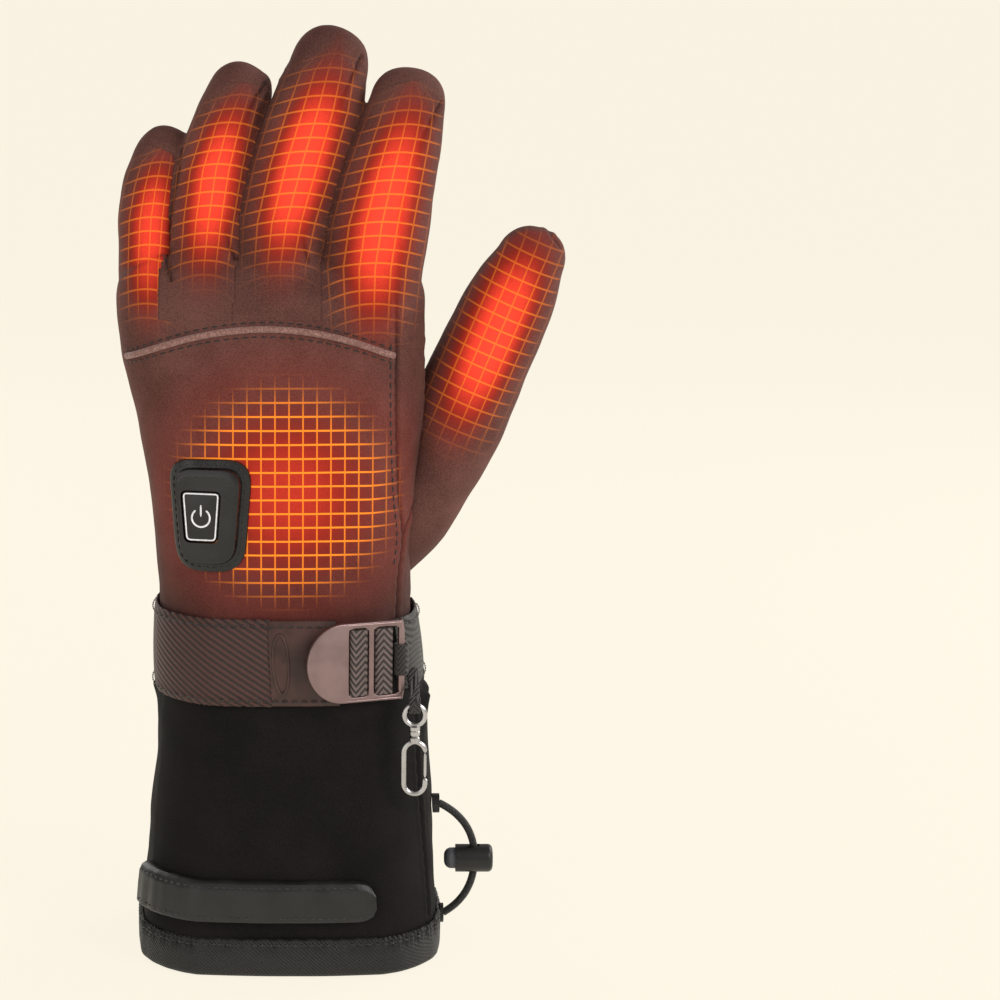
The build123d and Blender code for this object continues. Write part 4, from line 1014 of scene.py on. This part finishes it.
def even_loop(corners, count=96, rounding=0.0):
    """Evenly many places round a closed outline, with its corners rounded off."""
    ring = np.array(corners, float)
    if rounding:
        cut = []
        for before, corner, after in zip(np.roll(ring, 1, 0), ring, np.roll(ring, -1, 0)):
            first = corner + (before - corner) * min(0.45, rounding / np.linalg.norm(before - corner))
            last = corner + (after - corner) * min(0.45, rounding / np.linalg.norm(after - corner))
            for u in np.linspace(0, 1, 7):
                cut.append((1 - u) ** 2 * first + 2 * u * (1 - u) * corner + u**2 * last)
        ring = np.array(cut)
    ring = np.vstack([ring, ring[:1]])
    lengths = np.r_[0, np.cumsum(np.linalg.norm(np.diff(ring, axis=0), axis=1))]
    even = np.arange(count) * lengths[-1] / count
    return np.stack([np.interp(even, lengths, ring[:, k]) for k in range(ring.shape[1])], axis=1)


def swept(profile, count, place, caps=True):
    """A closed outline of pairs, a multiple of four of them, carried through stations."""
    segments = len(profile)

    def at(level, cosine, sine):
        index = round(math.atan2(sine, cosine) / math.tau * segments) % segments
        return place(level, *profile[index])

    return drum(count, segments, at, caps)


def welded(bm):
    """The mesh with its meeting ends made one."""
    bmesh.ops.remove_doubles(bm, verts=bm.verts, dist=0.01 * MM)
    return facing_out(bm)


def wire(line, radius, up=(0, 1, 0), segments=10, loop=False):
    """A round wire along places in millimetres, with soft ends or closed on itself."""
    line = np.array(line, float)
    way = np.gradient(line, axis=0)
    if loop:
        way[0] = way[-1] = line[1] - line[-2]
    ups = np.broadcast_to(np.array(up, float), line.shape)
    ends = () if loop else (0, len(line) - 1)

    def place(level, cosine, sine):
        along = Vector(way[level]).normalized()
        side = along.cross(Vector(ups[level])).normalized()
        thin = radius * (0.5 if level in ends else 1.0)
        return (Vector(line[level]) + (side * cosine + side.cross(along) * sine) * thin) * MM

    bm = drum(len(line), segments, place, caps=not loop)
    return welded(bm) if loop else bm


def strap(line, facing, across, half_width, thick, segments=48):
    """A flat strap with soft edges along places in millimetres, its back lying on them."""
    line = np.array(line, float)
    facings = np.broadcast_to(np.array(facing, float), line.shape)
    acrosses = np.broadcast_to(np.array(across, float), line.shape)

    def place(level, cosine, sine):
        wide, high = oblong(cosine, sine, half_width, thick / 2, thick * 0.42)
        spot = Vector(line[level]) + Vector(acrosses[level]) * wide
        return (spot + Vector(facings[level]) * (high + thick / 2)) * MM

    return drum(len(line), segments, place)


def wrapped(turns, low, high, thick, count=90, lift=-0.3, rounding=0.0, ragged=0.0):
    """Webbing that follows the cuff between two directions and two heights."""
    span = abs(turns[1] - turns[0]) * 36

    def place(level, cosine, sine):
        turn = float(np.interp(level, (0, count - 1), turns))
        wide, out = oblong(cosine, sine, 1.0, thick / 2, 0.4 * thick)
        left = span * (1 - level / (count - 1))
        inset = rounding - math.sqrt(max(rounding**2 - max(rounding - left, 0) ** 2, 0))
        half = (high - low) / 2 - inset
        wide = max(-1.0, min(1.0, wide))
        fray = ragged * noise.noise(Vector((turn * 46, 2.0 * math.copysign(1, wide), 3)))
        z = (high + low) / 2 + half * wide + fray * wide**2
        return cuff_spot(turn, z, thick / 2 + lift + out) * MM

    return drum(count, 64, place)


def around(turns, z, grow, count=200):
    """Places and outward directions round the cuff at a height."""
    found = []
    for turn in np.linspace(*turns, count):
        place = cuff_spot(turn, z, grow)
        found.append((place, (cuff_spot(turn, z, grow + 1) - place).normalized()))
    return found


def stitches(laid, length=1.9, gap=1.0, thick=0.24, lift=0.16, closed_row=False):
    """A row of short threads along places on the cloth, each dipping in at its ends."""
    spots = np.array([tuple(place) for place, _ in laid])
    faces = np.array([tuple(face) for _, face in laid])
    if closed_row:
        spots, faces = np.vstack([spots, spots[:1]]), np.vstack([faces, faces[:1]])
    lengths = np.r_[0, np.cumsum(np.linalg.norm(np.diff(spots, axis=0), axis=1))]
    count = max(int(lengths[-1] / (length + gap)), 1)
    pitch = lengths[-1] / count
    threads = []
    for index in range(count):
        along = index * pitch + np.linspace(0, pitch - gap, 5)
        line = np.stack([np.interp(along, lengths, spots[:, k]) for k in range(3)], axis=1)
        face = np.stack([np.interp(along, lengths, faces[:, k]) for k in range(3)], axis=1)
        face /= np.linalg.norm(face, axis=1)[:, None]
        rise = np.array([-0.25, 0.6, 1.0, 0.6, -0.25])[:, None] * lift
        threads.append(wire(line + face * rise, thick, up=face, segments=6))
    return joined(threads)


def smoothed(laid, reach=7):
    """A line on the cloth with its places and directions evened out."""
    kernel = np.ones(2 * reach + 1) / (2 * reach + 1)
    both = []
    for values in ([tuple(place) for place, _ in laid], [tuple(face) for _, face in laid]):
        values = np.pad(np.array(values), ((reach, reach), (0, 0)), mode="edge")
        both.append(np.stack([np.convolve(values[:, k], kernel, "valid") for k in range(3)], axis=1))
    both[1] /= np.linalg.norm(both[1], axis=1)[:, None]
    return [(Vector(place), Vector(face)) for place, face in zip(*both)]


def shrunk(outline, margin):
    """A closed outline moved inwards by a margin."""
    ahead = np.roll(outline, -1, 0) - np.roll(outline, 1, 0)
    ahead /= np.linalg.norm(ahead, axis=1)[:, None]
    inward = np.stack([-ahead[:, 1], ahead[:, 0]], axis=1)
    middle = outline.mean(axis=0)
    if np.sum((middle - outline) * inward) < 0:
        inward = -inward
    return outline + inward * margin


def laid_patch(tree, view, outline, thick, rounding=0.5, sink=0.6, inner=None, flat=None):
    """A patch that follows the cloth inside an outline; flat gives a level top's height."""
    middle = outline.mean(axis=0)
    slope = 0.3 * rounding
    rounded = [(0.0, -sink), (0.0, thick - rounding), (slope, thick - slope), (rounding, thick)]
    rings = [(shrunk(outline, margin), height) for margin, height in rounded]
    core = rings[-1][0]
    target = np.broadcast_to(middle, core.shape) if inner is None else inner
    shares = (0.15, 0.35, 0.55, 0.75, 0.93, 0.99) if inner is None else (0.25, 0.5, 0.75, 0.92, 1.0)
    rings += [(core * (1 - share) + target * share, thick) for share in shares]
    if inner is not None:
        rings += [(inner, thick - rounding), (inner, -sink)]
        rings.append(rings[0])
    else:
        rings.insert(0, (core * 0.02 + target * 0.98, -sink))

    def place(level, cosine, sine):
        ring, height = rings[level]
        index = round(math.atan2(sine, cosine) / math.tau * len(outline)) % len(outline)
        across, up = ring[index]
        if flat is not None and height > 0:
            return in_view(view, across, up, flat + height - thick) * MM
        return landed(tree, view, across, up, height) * MM

    bm = drum(len(rings), len(outline), place, caps=inner is None)
    return bm if inner is None else welded(bm)


def plate(loops, thick, rounding, view):
    """A flat plate cut to an outline, with holes for the later loops and softened edges."""
    bm = bmesh.new()
    edges = []
    for loop in loops:
        ring = [bm.verts.new((x, y, 0)) for x, y in loop]
        edges += [bm.edges.new(pair) for pair in zip(ring, ring[1:] + ring[:1])]
    bmesh.ops.triangle_fill(bm, edges=edges, use_beauty=True)
    lifted = bmesh.ops.extrude_face_region(bm, geom=bm.faces[:])
    raised = [item for item in lifted["geom"] if isinstance(item, bmesh.types.BMVert)]
    bmesh.ops.translate(bm, verts=raised, vec=(0, 0, thick))
    bmesh.ops.recalc_face_normals(bm, faces=bm.faces)
    rim = [e for e in bm.edges if abs(e.verts[0].co.z - e.verts[1].co.z) < 0.01 and e.calc_face_angle(0) > 1]
    bmesh.ops.bevel(
        bm, geom=rim, offset=rounding, segments=3, profile=0.5, affect="EDGES", material=-1
    )
    for vert in bm.verts:
        vert.co = in_view(view, *vert.co) * MM
    return bm


def block(low, high, view, rounding):
    """A box between two corners of a drawing plane, with softened edges."""
    corners = [(low[0], low[1]), (high[0], low[1]), (high[0], high[1]), (low[0], high[1])]
    origin, way, upright, face = view
    return plate([corners], high[2] - low[2], rounding, (origin + face * low[2], way, upright, face))


def trapezoid(top, bottom, height, corner, count=96):
    """A rounded outline, wider at its top."""
    half = height / 2
    corners = [(top / 2, half), (-top / 2, half), (-bottom / 2, -half), (bottom / 2, -half)]
    return even_loop(corners, count, corner * 1.3)


# ------------------------------------------------------------------ piping and seams' threads
ARC = np.polyfit([-52.0, -17.9, 34.0], [197.3, 206.8, 198.5], 2)
arc_x = np.linspace(-52, 34, 9)
arc_line = list(zip(arc_x, np.polyval(ARC, arc_x)))
piping_line = smoothed(laid_on(hand_tree, arc_line, -1))
piping_ups = [tuple(face) for _, face in piping_line]
piping_cord = wire([tuple(place + face * 0.35) for place, face in piping_line], 1.05, piping_ups, 14)
finished(piping_cord, "piping_welt", light_piping, "hand", ["piping"])

thread_rows = []
for drop in (-2.3, 2.1):
    row = laid_on(hand_tree, [(x, z + drop) for x, z in arc_line], -1)
    thread_rows.append(stitches(smoothed(row, 3)))
side_row = [(32.0, 203), (32.0, 180), (33.0, 155), (34.4, 141), (33.2, 130)]
thread_rows.append(stitches(smoothed(laid_on(hand_tree, side_row, -1), 3)))
finished(joined(thread_rows), "hand_stitches", stitch_thread, "hand")

# ------------------------------------------------------------------ control unit
PATCH_OUTLINE = trapezoid(27.5, 22.5, 36, 6.5)
PAD_OUTLINE = trapezoid(22.3, 17.3, 30.8, 5.0)
KEY_MIDDLE = np.array([-2.0, 0.0])
KEY_HOLE = trapezoid(13.3, 10.9, 16.8, 1.6) + KEY_MIDDLE
patch = laid_patch(hand_tree, CONTROL_VIEW, PATCH_OUTLINE, 1.1, 0.5, 0.7, inner=KEY_HOLE)
finished(patch, "key_patch", gloss_leather, "hand", ["control_patch"])
pad = laid_patch(hand_tree, CONTROL_VIEW, PAD_OUTLINE, 2.7, 1.1, 0.2, inner=KEY_HOLE, flat=2.7)
finished(pad, "key_pad", gloss_leather, "hand", ["control_pad"])
rim_row = []
for across, up in even_loop(shrunk(PATCH_OUTLINE, 1.5), 220):
    rim_row.append((landed(hand_tree, CONTROL_VIEW, across, up, 1.1), CONTROL_FACE))
patch_threads = stitches(rim_row, 1.7, 0.8, 0.2, 0.2, closed_row=True)
finished(patch_threads, "patch_stitches", stitch_thread, "hand")

KEY_OUTLINE = trapezoid(12.8, 10.4, 16.3, 1.5, 64) + KEY_MIDDLE
KEY_BASE = -1.1
KEY_TALL = 3.6
key_view = (CONTROL_VIEW[0] + CONTROL_FACE * KEY_BASE, *CONTROL_VIEW[1:])
key = plate([[tuple(corner) for corner in KEY_OUTLINE]], KEY_TALL, 0.5, key_view)
finished(key, "push_key", key_plastic, "power_button", ["power_button"])
MARK_OUT = KEY_BASE + KEY_TALL + 0.02
mark_frame = shrunk(KEY_OUTLINE, 0.75)
frame_line = [tuple(in_view(CONTROL_VIEW, x, y, MARK_OUT)) for x, y in [*mark_frame, mark_frame[0]]]
SIGN_R = 2.9
sign_turns = np.radians(np.linspace(125, 415, 40))
ring_line = [
    tuple(in_view(CONTROL_VIEW, -2.0 + SIGN_R * math.cos(turn), SIGN_R * math.sin(turn) - 0.3, MARK_OUT))
    for turn in sign_turns
]
bar_line = [tuple(in_view(CONTROL_VIEW, -2.0, up, MARK_OUT)) for up in np.linspace(0.2, 3.8, 6)]
key_print = joined([
    wire(frame_line, 0.24, tuple(CONTROL_FACE), 8, loop=True),
    wire(ring_line, 0.3, tuple(CONTROL_FACE), 8),
    wire(bar_line, 0.3, tuple(CONTROL_FACE), 8),
])
finished(key_print, "key_print", key_mark, "power_button")

# ------------------------------------------------------------------ wrist band and buckle
BAND_TURNS = (2.90, 4.642)
TAB_TURNS = (4.636, 4.93)
ANCHOR_TURNS = (5.5, 6.527)
band = wrapped(BAND_TURNS, BAND_LOW, BAND_HIGH, 2.5, 120, ragged=0.5)
finished(band, "wrist_webbing", band_webbing, "cuff", ["wrist_band"])
tab = wrapped(TAB_TURNS, BAND_LOW + 0.2, BAND_HIGH - 0.3, 2.9, 30)
finished(tab, "leather_tab", tab_leather, "cuff", ["strap_tab"])
OVAL_TURN = 4.684
OVAL_REACH = 0.034
oval = []
for turn in np.linspace(0, math.tau, 49):
    oval.append(tuple(cuff_spot(OVAL_TURN + OVAL_REACH * math.cos(turn), 102 + 9.5 * math.sin(turn), 2.55)))
oval_rib = wire(oval, 0.42, (0, -1, 0), 8, loop=True)
finished(oval_rib, "tab_emboss", tab_leather, "cuff")
BAND_SEWN = (BAND_TURNS[0] + 0.02, BAND_TURNS[1])
BAND_ROWS = (BAND_HIGH - 2, BAND_LOW + 2)
band_threads = [stitches(around(BAND_SEWN, z, 2.2, 300)) for z in BAND_ROWS]
band_threads += [stitches(around(TAB_TURNS, z, 2.55, 60)) for z in BAND_ROWS]
finished(joined(band_threads), "band_stitches", stitch_thread, "cuff")

HALF_TALL = 13.0
moon = [(-4 - 12 * math.sin(turn), 13 * math.cos(turn)) for turn in np.linspace(0.0, math.pi, 33)]
buckle_loops = [
    [*moon, (15.6, -HALF_TALL), (15.6, HALF_TALL)],
    even_loop([(-2, -11), (4.4, -11), (4.4, 11), (-2, 11)], 32, 0.8),
    even_loop([(6.4, -11), (14.9, -11), (14.9, 11), (6.4, 11)], 32, 0.8),
]
buckle_plate = plate(buckle_loops, 1.8, 0.5, BUCKLE_VIEW)
outer_bar = wire([tuple(in_view(BUCKLE_VIEW, 15.6, up, 0.9)) for up in np.linspace(-13, 13, 9)], 1.15)
rails = [
    wire([tuple(in_view(BUCKLE_VIEW, u, up, 1.75)) for u in np.linspace(-3.6, 15.4, 9)], 0.32, (0, 0, 1), 8)
    for up in (-12.3, 12.3)
]
buckle_parts = joined([buckle_plate, outer_bar, *rails])
finished(buckle_parts, "ladder_buckle", buckle_metal, "buckle", ["buckle_frame"])

FOLD_LINE = [tuple(in_view(BUCKLE_VIEW, 0, up)) for up in np.linspace(-10.7, 10.7, 15)]
fold_parts = []
for middle, half, out, thick in ((1.2, 2.95, -0.9, 3.4), (9.65, 2.95, -0.9, 3.4), (5.4, 7.1, -0.9, 0.6)):
    shift = BUCKLE_VIEW[1] * middle + BUCKLE_VIEW[3] * out
    line = [tuple(Vector(place) + shift) for place in FOLD_LINE]
    fold_parts.append(strap(line, tuple(BUCKLE_VIEW[3]), tuple(BUCKLE_VIEW[1]), half, thick, 40))
finished(joined(fold_parts), "folded_webbing", fold_webbing, "buckle", ["strap_fold"])

bar_middle = in_view(BUCKLE_VIEW, 15.6, 0, 0.9)
loop_turns = np.linspace(0, math.tau, 41)
loop_out = [(math.cos(turn), math.sin(turn), 0) for turn in loop_turns]
loop_line = [tuple(bar_middle + Vector(out) * 1.4) for out in loop_out]
bar_loop = strap(loop_line, loop_out, (0, 0, 1), 5.0, 1.0)
STRIP_WAY = Vector((math.cos(math.radians(76)), math.sin(math.radians(76)), 0))
STRIP_FACE = Vector((STRIP_WAY.y, -STRIP_WAY.x, 0))
strip_line = [tuple(bar_middle + STRIP_WAY * far - STRIP_FACE * 0.5) for far in np.linspace(1.7, 8.0, 8)]
bar_strip = strap(strip_line, tuple(STRIP_FACE), (0, 0, 1), 5.0, 1.0)
side_webbing = wrapped(ANCHOR_TURNS, 91, 114, 2.5, 90, ragged=0.3)
anchor_parts = joined([bar_loop, bar_strip, side_webbing])
finished(anchor_parts, "side_strap", anchor_webbing, "cuff", ["anchor_strap"])
anchor_threads = [stitches(around((ANCHOR_TURNS[0] + 0.05, 6.5), z, 2.2, 200)) for z in (112.2, 92.8)]
finished(joined(anchor_threads), "side_strap_stitches", stitch_thread, "cuff")

# ------------------------------------------------------------------ hook for pairing gloves
HOOK_X = 39.8
HOOK_Y = -36.0
RING_TOP_Z = 89.5
RING_Z = 86.2
RING_R = 3.3
HOOK_MIDDLE_Z = 68.85
hang = Vector((HOOK_X, HOOK_Y, RING_TOP_Z))
loop_out = [(0, math.cos(turn), math.sin(turn)) for turn in loop_turns]
eye = strap([tuple(hang + Vector(out) * 1.7) for out in loop_out], loop_out, (1, 0, 0), 1.8, 1.0, 32)
TAIL_WAY = Vector((0, math.cos(math.radians(22)), math.sin(math.radians(22))))
TAIL_FACE = Vector((0, -TAIL_WAY.z, TAIL_WAY.y))
tail_start = hang + TAIL_WAY * 1.9 - TAIL_FACE * 0.2
tail_line = [tuple(tail_start + TAIL_WAY * far) for far in np.linspace(0, 17, 12)]
tail = strap(tail_line, tuple(TAIL_FACE), (1, 0, 0), 1.8, 1.0, 32)
finished(joined([eye, tail]), "hanging_loop", anchor_webbing, "cuff", ["hook_loop"])


def turned(profile, middle, segments=32):
    """A turned part about an upright axis, its profile given as heights and radii."""

    def place(level, cosine, sine):
        z, radius = profile[level]
        return mm(middle[0] + radius * cosine, middle[1] + radius * sine, z)

    return drum(len(profile), segments, place)


ring_wire = [
    (HOOK_X + RING_R * math.cos(turn), HOOK_Y, RING_Z + RING_R * math.sin(turn))
    for turn in np.linspace(0, math.tau, 49)
]
barrel = turned(
    [(79.5, 1.2), (79.6, 1.55), (79.9, 1.7), (81.0, 1.7), (81.2, 1.5), (81.4, 1.7), (82.5, 1.7), (82.9, 1.2)],
    (HOOK_X, HOOK_Y),
)
swivel = joined([wire(ring_wire, 0.8, (0, 1, 0), 16, loop=True), barrel])
finished(swivel, "hook_ring", hook_metal, "ring_swivel", ["swivel_ring"])
HOOK_HALF_WIDE = 3.4
HOOK_STRAIGHT = 5.15
hook_line = [(HOOK_HALF_WIDE, z) for z in np.linspace(-3.4, -HOOK_STRAIGHT, 4)]
for turn in np.linspace(0, -math.pi, 17)[1:]:
    hook_line.append((HOOK_HALF_WIDE * math.cos(turn), -HOOK_STRAIGHT + HOOK_HALF_WIDE * math.sin(turn)))
hook_line += [(-HOOK_HALF_WIDE, z) for z in np.linspace(-HOOK_STRAIGHT, HOOK_STRAIGHT, 9)[1:]]
for turn in np.linspace(math.pi, 0, 17)[1:]:
    hook_line.append((HOOK_HALF_WIDE * math.cos(turn), HOOK_STRAIGHT + HOOK_HALF_WIDE * math.sin(turn)))
hook_wire = [(HOOK_X + x, HOOK_Y, HOOK_MIDDLE_Z + z) for x, z in hook_line]
shank = turned([(76.9, 1.0), (77.2, 1.6), (78.9, 1.7), (79.3, 1.2), (79.8, 0.7)], (HOOK_X, HOOK_Y))
hook = joined([wire(hook_wire, 0.85, (0, 1, 0), 14), shank])
finished(hook, "wire_hook", hook_metal, "hook", ["snap_hook"])
gate_line = [(HOOK_X + 3.4, HOOK_Y, HOOK_MIDDLE_Z + z) for z in np.linspace(-3.1, 4.9, 10)]
finished(wire(gate_line, 0.5, (0, 1, 0), 12), "hook_tongue", hook_metal, "gate", ["hook_gate"])

# ------------------------------------------------------------------ pocket, hem and lining
FLAP_TURNS = (3.47, 5.026)
FLAP_PROFILE = even_loop(
    [(19.0, 2.6), (19.0, 3.2), (19.5, 3.6), (25, 3.7), (29.5, 3.6), (31.4, 2.8), (32.1, 1.4), (32.0, -0.3),
     (29.9, -0.3), (29.7, 1.6), (28.6, 2.5), (25, 2.7), (19.5, 2.5)], 64)
FLAP_COUNT = 130


def flap_place(level, z, out):
    """A place on the pocket's welt, whose far end is rounded off."""
    turn = float(np.interp(level, (0, FLAP_COUNT - 1), FLAP_TURNS))
    left = (FLAP_TURNS[1] - turn) * 52
    inset = 4 - math.sqrt(max(16 - max(4 - left, 0) ** 2, 0))
    z = 25.5 + (z - 25.5) * (1 - inset / 6.5)
    wave = 0.25 * noise.noise(Vector((turn * 9, z * 0.05, 5)))
    return cuff_spot(turn, z, out + wave) * MM


flap = swept(FLAP_PROFILE, FLAP_COUNT, flap_place)
finished(flap, "pocket_welt", welt_leather, "cuff", ["pocket_flap"])
flap_threads = [stitches(around((3.5, 4.98), z, 3.55, 300), 1.6, 0.9) for z in (20.6, 30.3)]
finished(joined(flap_threads), "pocket_stitches", stitch_thread, "cuff")
TAPE_TURNS = (4.43, 4.99)
TAPE_EDGES = ((20.4, 24.2), (25.0, 28.9))
tape = joined([wrapped(TAPE_TURNS, low, high, 0.7, 40, lift=0.05) for low, high in TAPE_EDGES])
finished(tape, "zip_tapes", binding_tape, "cuff", ["pocket_zip_tape"])
coil = []
for z in (24.25, 24.95):
    coil.append(wire([tuple(place) for place, _ in around((4.46, 4.96), z, 0.75, 60)], 0.42, (0, 0, 1), 8))
finished(joined(coil), "zip_coil", black_plastic, "cuff")

HEM_PROFILE = even_loop(
    [(12.4, 0.1), (12.9, 0.5), (12.8, 1.2), (11.9, 1.55), (7, 1.6), (1.6, 1.5), (0.4, 0.8), (0, -1),
     (0, -5.2), (0.6, -6.7), (2, -7.1), (12, -7.1), (12.7, -6.6), (12.2, -5.9), (2, -5.8), (1.5, -5),
     (1.5, -0.8), (2.2, -0.1)], 72)
HEM_COUNT = 361


def hem_place(level, z, out):
    """A place on the hem's binding, puckered along its seam."""
    turn = math.tau * level / (HEM_COUNT - 1)
    near_seam = math.exp(-(((z - 11) / 2.2) ** 2)) if out > 0 else 0.0
    pucker = 0.22 * math.cos(turn * 110) + 0.25 * math.cos(turn * 37 + 1) - 0.45
    bulge = 0.3 * math.cos(turn * 13) * noise.noise(Vector((math.cos(turn) * 3, math.sin(turn) * 3, 1)))
    lift = 0.25 * math.cos(turn * 110 + 0.6) * (z > 11)
    return cuff_spot(turn, z + lift, out + near_seam * pucker + bulge) * MM


hem = welded(swept(HEM_PROFILE, HEM_COUNT, hem_place, caps=False))
finished(hem, "hem_tape", binding_tape, "cuff", ["hem_binding"])
hem_threads = stitches(around((0, math.tau), 11.0, 1.25, 700), 1.7, 0.95, lift=0.25)
finished(hem_threads, "hem_stitches", stitch_thread, "cuff")

LINING_LEVELS = [*np.linspace(2.0, 110.0, 44), *np.linspace(112.0, 128.0, 9), *np.linspace(131.0, 206.0, 26)]


def lining_place(level, cosine, sine):
    """A place on the fleece, drawn together at the roots of the fingers."""
    closing = max(level - len(LINING_LEVELS) + 1, 0)
    z = LINING_LEVELS[min(level, len(LINING_LEVELS) - 1)] + 1.2 * closing
    stages = CUFF_STAGES if z < 112 else HAND_STAGES
    return on_ring(stages, z, cosine, sine, -2.0 - 4.0 * closing) * MM


lining_bm = editable(draped(drum(len(LINING_LEVELS) + 3, 120, lining_place)))
mouth = [face for face in lining_bm.faces if face.calc_center_median().z < 3 * MM and len(face.verts) > 8]
bmesh.ops.delete(lining_bm, geom=mouth, context="FACES")
bmesh.ops.triangulate(lining_bm, faces=[face for face in lining_bm.faces if len(face.verts) > 8])
lining = finished(
    walled(lining_bm, FLEECE_THICK), "fleece_sack", fleece, sharp=0,
    replaces=["cuff_lining", "hand_lining"],
)
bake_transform(lining)

elastic_mesh = mesh_of(wrapped((0.35, 2.79), 94.2, 101.8, 0.5, 160, lift=-2.7))
elastic_points = places(elastic_mesh)
radial = elastic_points * np.array([1, 1, 0])
radial /= np.linalg.norm(radial, axis=1)[:, None]
put(elastic_mesh, ruffle(elastic_points, radial))
finished(editable(elastic_mesh), "gathering_elastic", binding_tape, "cuff", ["wrist_elastic"])

pouch_view = (Vector((0, -29.2, 50)), *BACK_AXES)
pouch = block((-26, -28, -10.4), (26, 28, 0), pouch_view, 1.8)
finished(pouch, "pocket_bag", cuff_cloth_finish, "cuff", ["battery_pouch"])

LEAD_X = -18.5
lead_heights = [*np.linspace(74, 112, 14), *np.linspace(115, 139, 11)]
lead_line = []
for z in lead_heights:
    stages = CUFF_STAGES if z < 112 else HAND_STAGES
    x, _, half_depth, corner = ring_at(stages, z)
    lead_line.append((LEAD_X, -half_depth + 2.7 - 0.4 * (z < 78), z))
lead = strap(lead_line, (0, -1, 0), (1, 0, 0), 2.5, 0.5, 24)
lead_cable = finished(lead, "power_lead", black_plastic, replaces=["battery_lead"])
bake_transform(lead_cable)
plug_view = (Vector((LEAD_X, -29.4, 70.5)), *BACK_AXES)
plug = block((-3.5, -5.5, -1.9), (3.5, 5.5, 1.7), plug_view, 0.6)
finished(plug, "power_plug", black_plastic, "cuff")


# ------------------------------------------------------------------ heating films
FILM_DEPTH = 1.9  # below the cloth's outer side
FILM_FACING = -0.62  # how squarely the cloth over a film faces the back of the hand
SWITCH_EDGE = -9.0  # the film stops here beside the control unit, between these heights
SWITCH_HEIGHTS = (134.0, 164.0)


def inner_film(bm, above, name, body, node):
    """A thin film inside the cloth on the back of the hand, cut from the cloth's own shape."""
    bm.normal_update()
    keep_low = above * MM
    out = []
    for face in bm.faces:
        spot = face.calc_center_median()
        beside = spot.x < SWITCH_EDGE * MM and SWITCH_HEIGHTS[0] < spot.z / MM < SWITCH_HEIGHTS[1]
        if face.normal.y > FILM_FACING or spot.z < keep_low or (body == "hand" and beside):
            out.append(face)
    bmesh.ops.delete(bm, geom=out, context="FACES")
    bmesh.ops.smooth_vert(
        bm, verts=bm.verts, factor=0.5, use_axis_x=True, use_axis_y=True, use_axis_z=True
    )
    bm = evaluated(bm, ("DECIMATE", {"ratio": 0.25}))
    bm.normal_update()
    for vert in bm.verts:
        vert.co -= vert.normal * FILM_DEPTH * MM
    finished(walled(bm, FILM_THICK), name, heating_film, body, [node], sharp=0)


inner_film(part_of_hand(-1), 130, "hand_film", "hand", "hand_heater")
for label, name in enumerate(finger_names):
    inner_film(part_of_hand(label), 229, f"{name}_film", name, f"{name}_heater")
thumb_film = editable(thumb_mesh)
beyond = [v for v in thumb_film.verts if (v.co / MM - THUMB_ROOT).dot(THUMB_WAY) < 43]
bmesh.ops.delete(thumb_film, geom=beyond, context="VERTS")
inner_film(thumb_film, 0, "thumb_film", "thumb", "thumb_heater")

# ------------------------------------------------------------------ palm
GRIP_CORNERS = [
    (-40, 200), (-42, 168), (-41, 137), (-20, 132), (8, 132), (28, 143), (32, 170), (33, 199), (-3, 206),
]
GRIP_OUTLINE = even_loop(GRIP_CORNERS, 160, 6)
grip = laid_patch(hand_tree, PALM_VIEW, GRIP_OUTLINE, 0.75, 0.4, 0.5)
grip_piece = finished(grip, "grip_patch", heated_twill, "hand", ["palm_patch"])
paint_hand_glow(grip_piece.data, swapped=True)
grip_row = [
    (landed(hand_tree, PALM_VIEW, across, up, 0.8), PALM_VIEW[3])
    for across, up in even_loop(shrunk(GRIP_OUTLINE, 1.8), 700)
]
grip_threads = stitches(grip_row, 2.0, 1.0, 0.22, 0.2, closed_row=True)
finished(grip_threads, "grip_stitches", stitch_thread, "hand")

# ------------------------------------------------------------------ hem drawcord and lock
CORD_R = 1.25
CORD_POINTS = [(49.6, -5, 47.5), (61.5, -5, 41.5), (61.5, -5, 15.5), (51.3, -5, 9.5)]
cord_curve = bpy.data.curves.new("hem_cord", "CURVE")
cord_curve.dimensions = "3D"
cord_curve.bevel_depth = CORD_R * MM
cord_curve.bevel_resolution = 5
cord_curve.resolution_u = 24
cord_curve.use_fill_caps = True
run = cord_curve.splines.new("NURBS")
run.points.add(len(CORD_POINTS) - 1)
for point, (x, y, z) in zip(run.points, CORD_POINTS):
    point.co = (x * MM, y * MM, z * MM, 1)
run.order_u = 3
run.use_endpoint_u = True
cord_curve.materials.append(black_cord)
hem_cord = bpy.data.objects.new("hem_cord", cord_curve)
scene.collection.objects.link(hem_cord)
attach(hem_cord, "cuff")
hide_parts("drawcord")

LOCK_END = 66.35
SPRING_START = 64.7
SPRING_LENGTH = LOCK_END - 0.45 - SPRING_START
SPRING_R = 2.2
SPRING_TURNS = 2
spring_line = []
for share in np.linspace(0, 1, 60):
    turn = share * SPRING_TURNS * math.tau
    x = SPRING_START + SPRING_LENGTH * share
    spring_line.append((x, -5 + SPRING_R * math.cos(turn), 28.5 + SPRING_R * math.sin(turn)))
spring = finished(
    wire(spring_line, 0.3, (1, 0, 0), 8), "lock_coil", hook_metal, "cord_lock", ["lock_spring"]
)
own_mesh(spring)

CARRIED_OVER = {
    "lock_body": black_plastic, "lock_button": grey_plastic,
    "cord_eyelets": black_plastic, "control_housing": black_plastic, "control_board": board_green,
    "tact_switch": black_plastic, "battery_pack": black_plastic, "zip_slider": zip_metal,
}
for name, finish in CARRIED_OVER.items():
    node = bpy.data.objects[name]
    node.data.materials.clear()
    node.data.materials.append(finish)
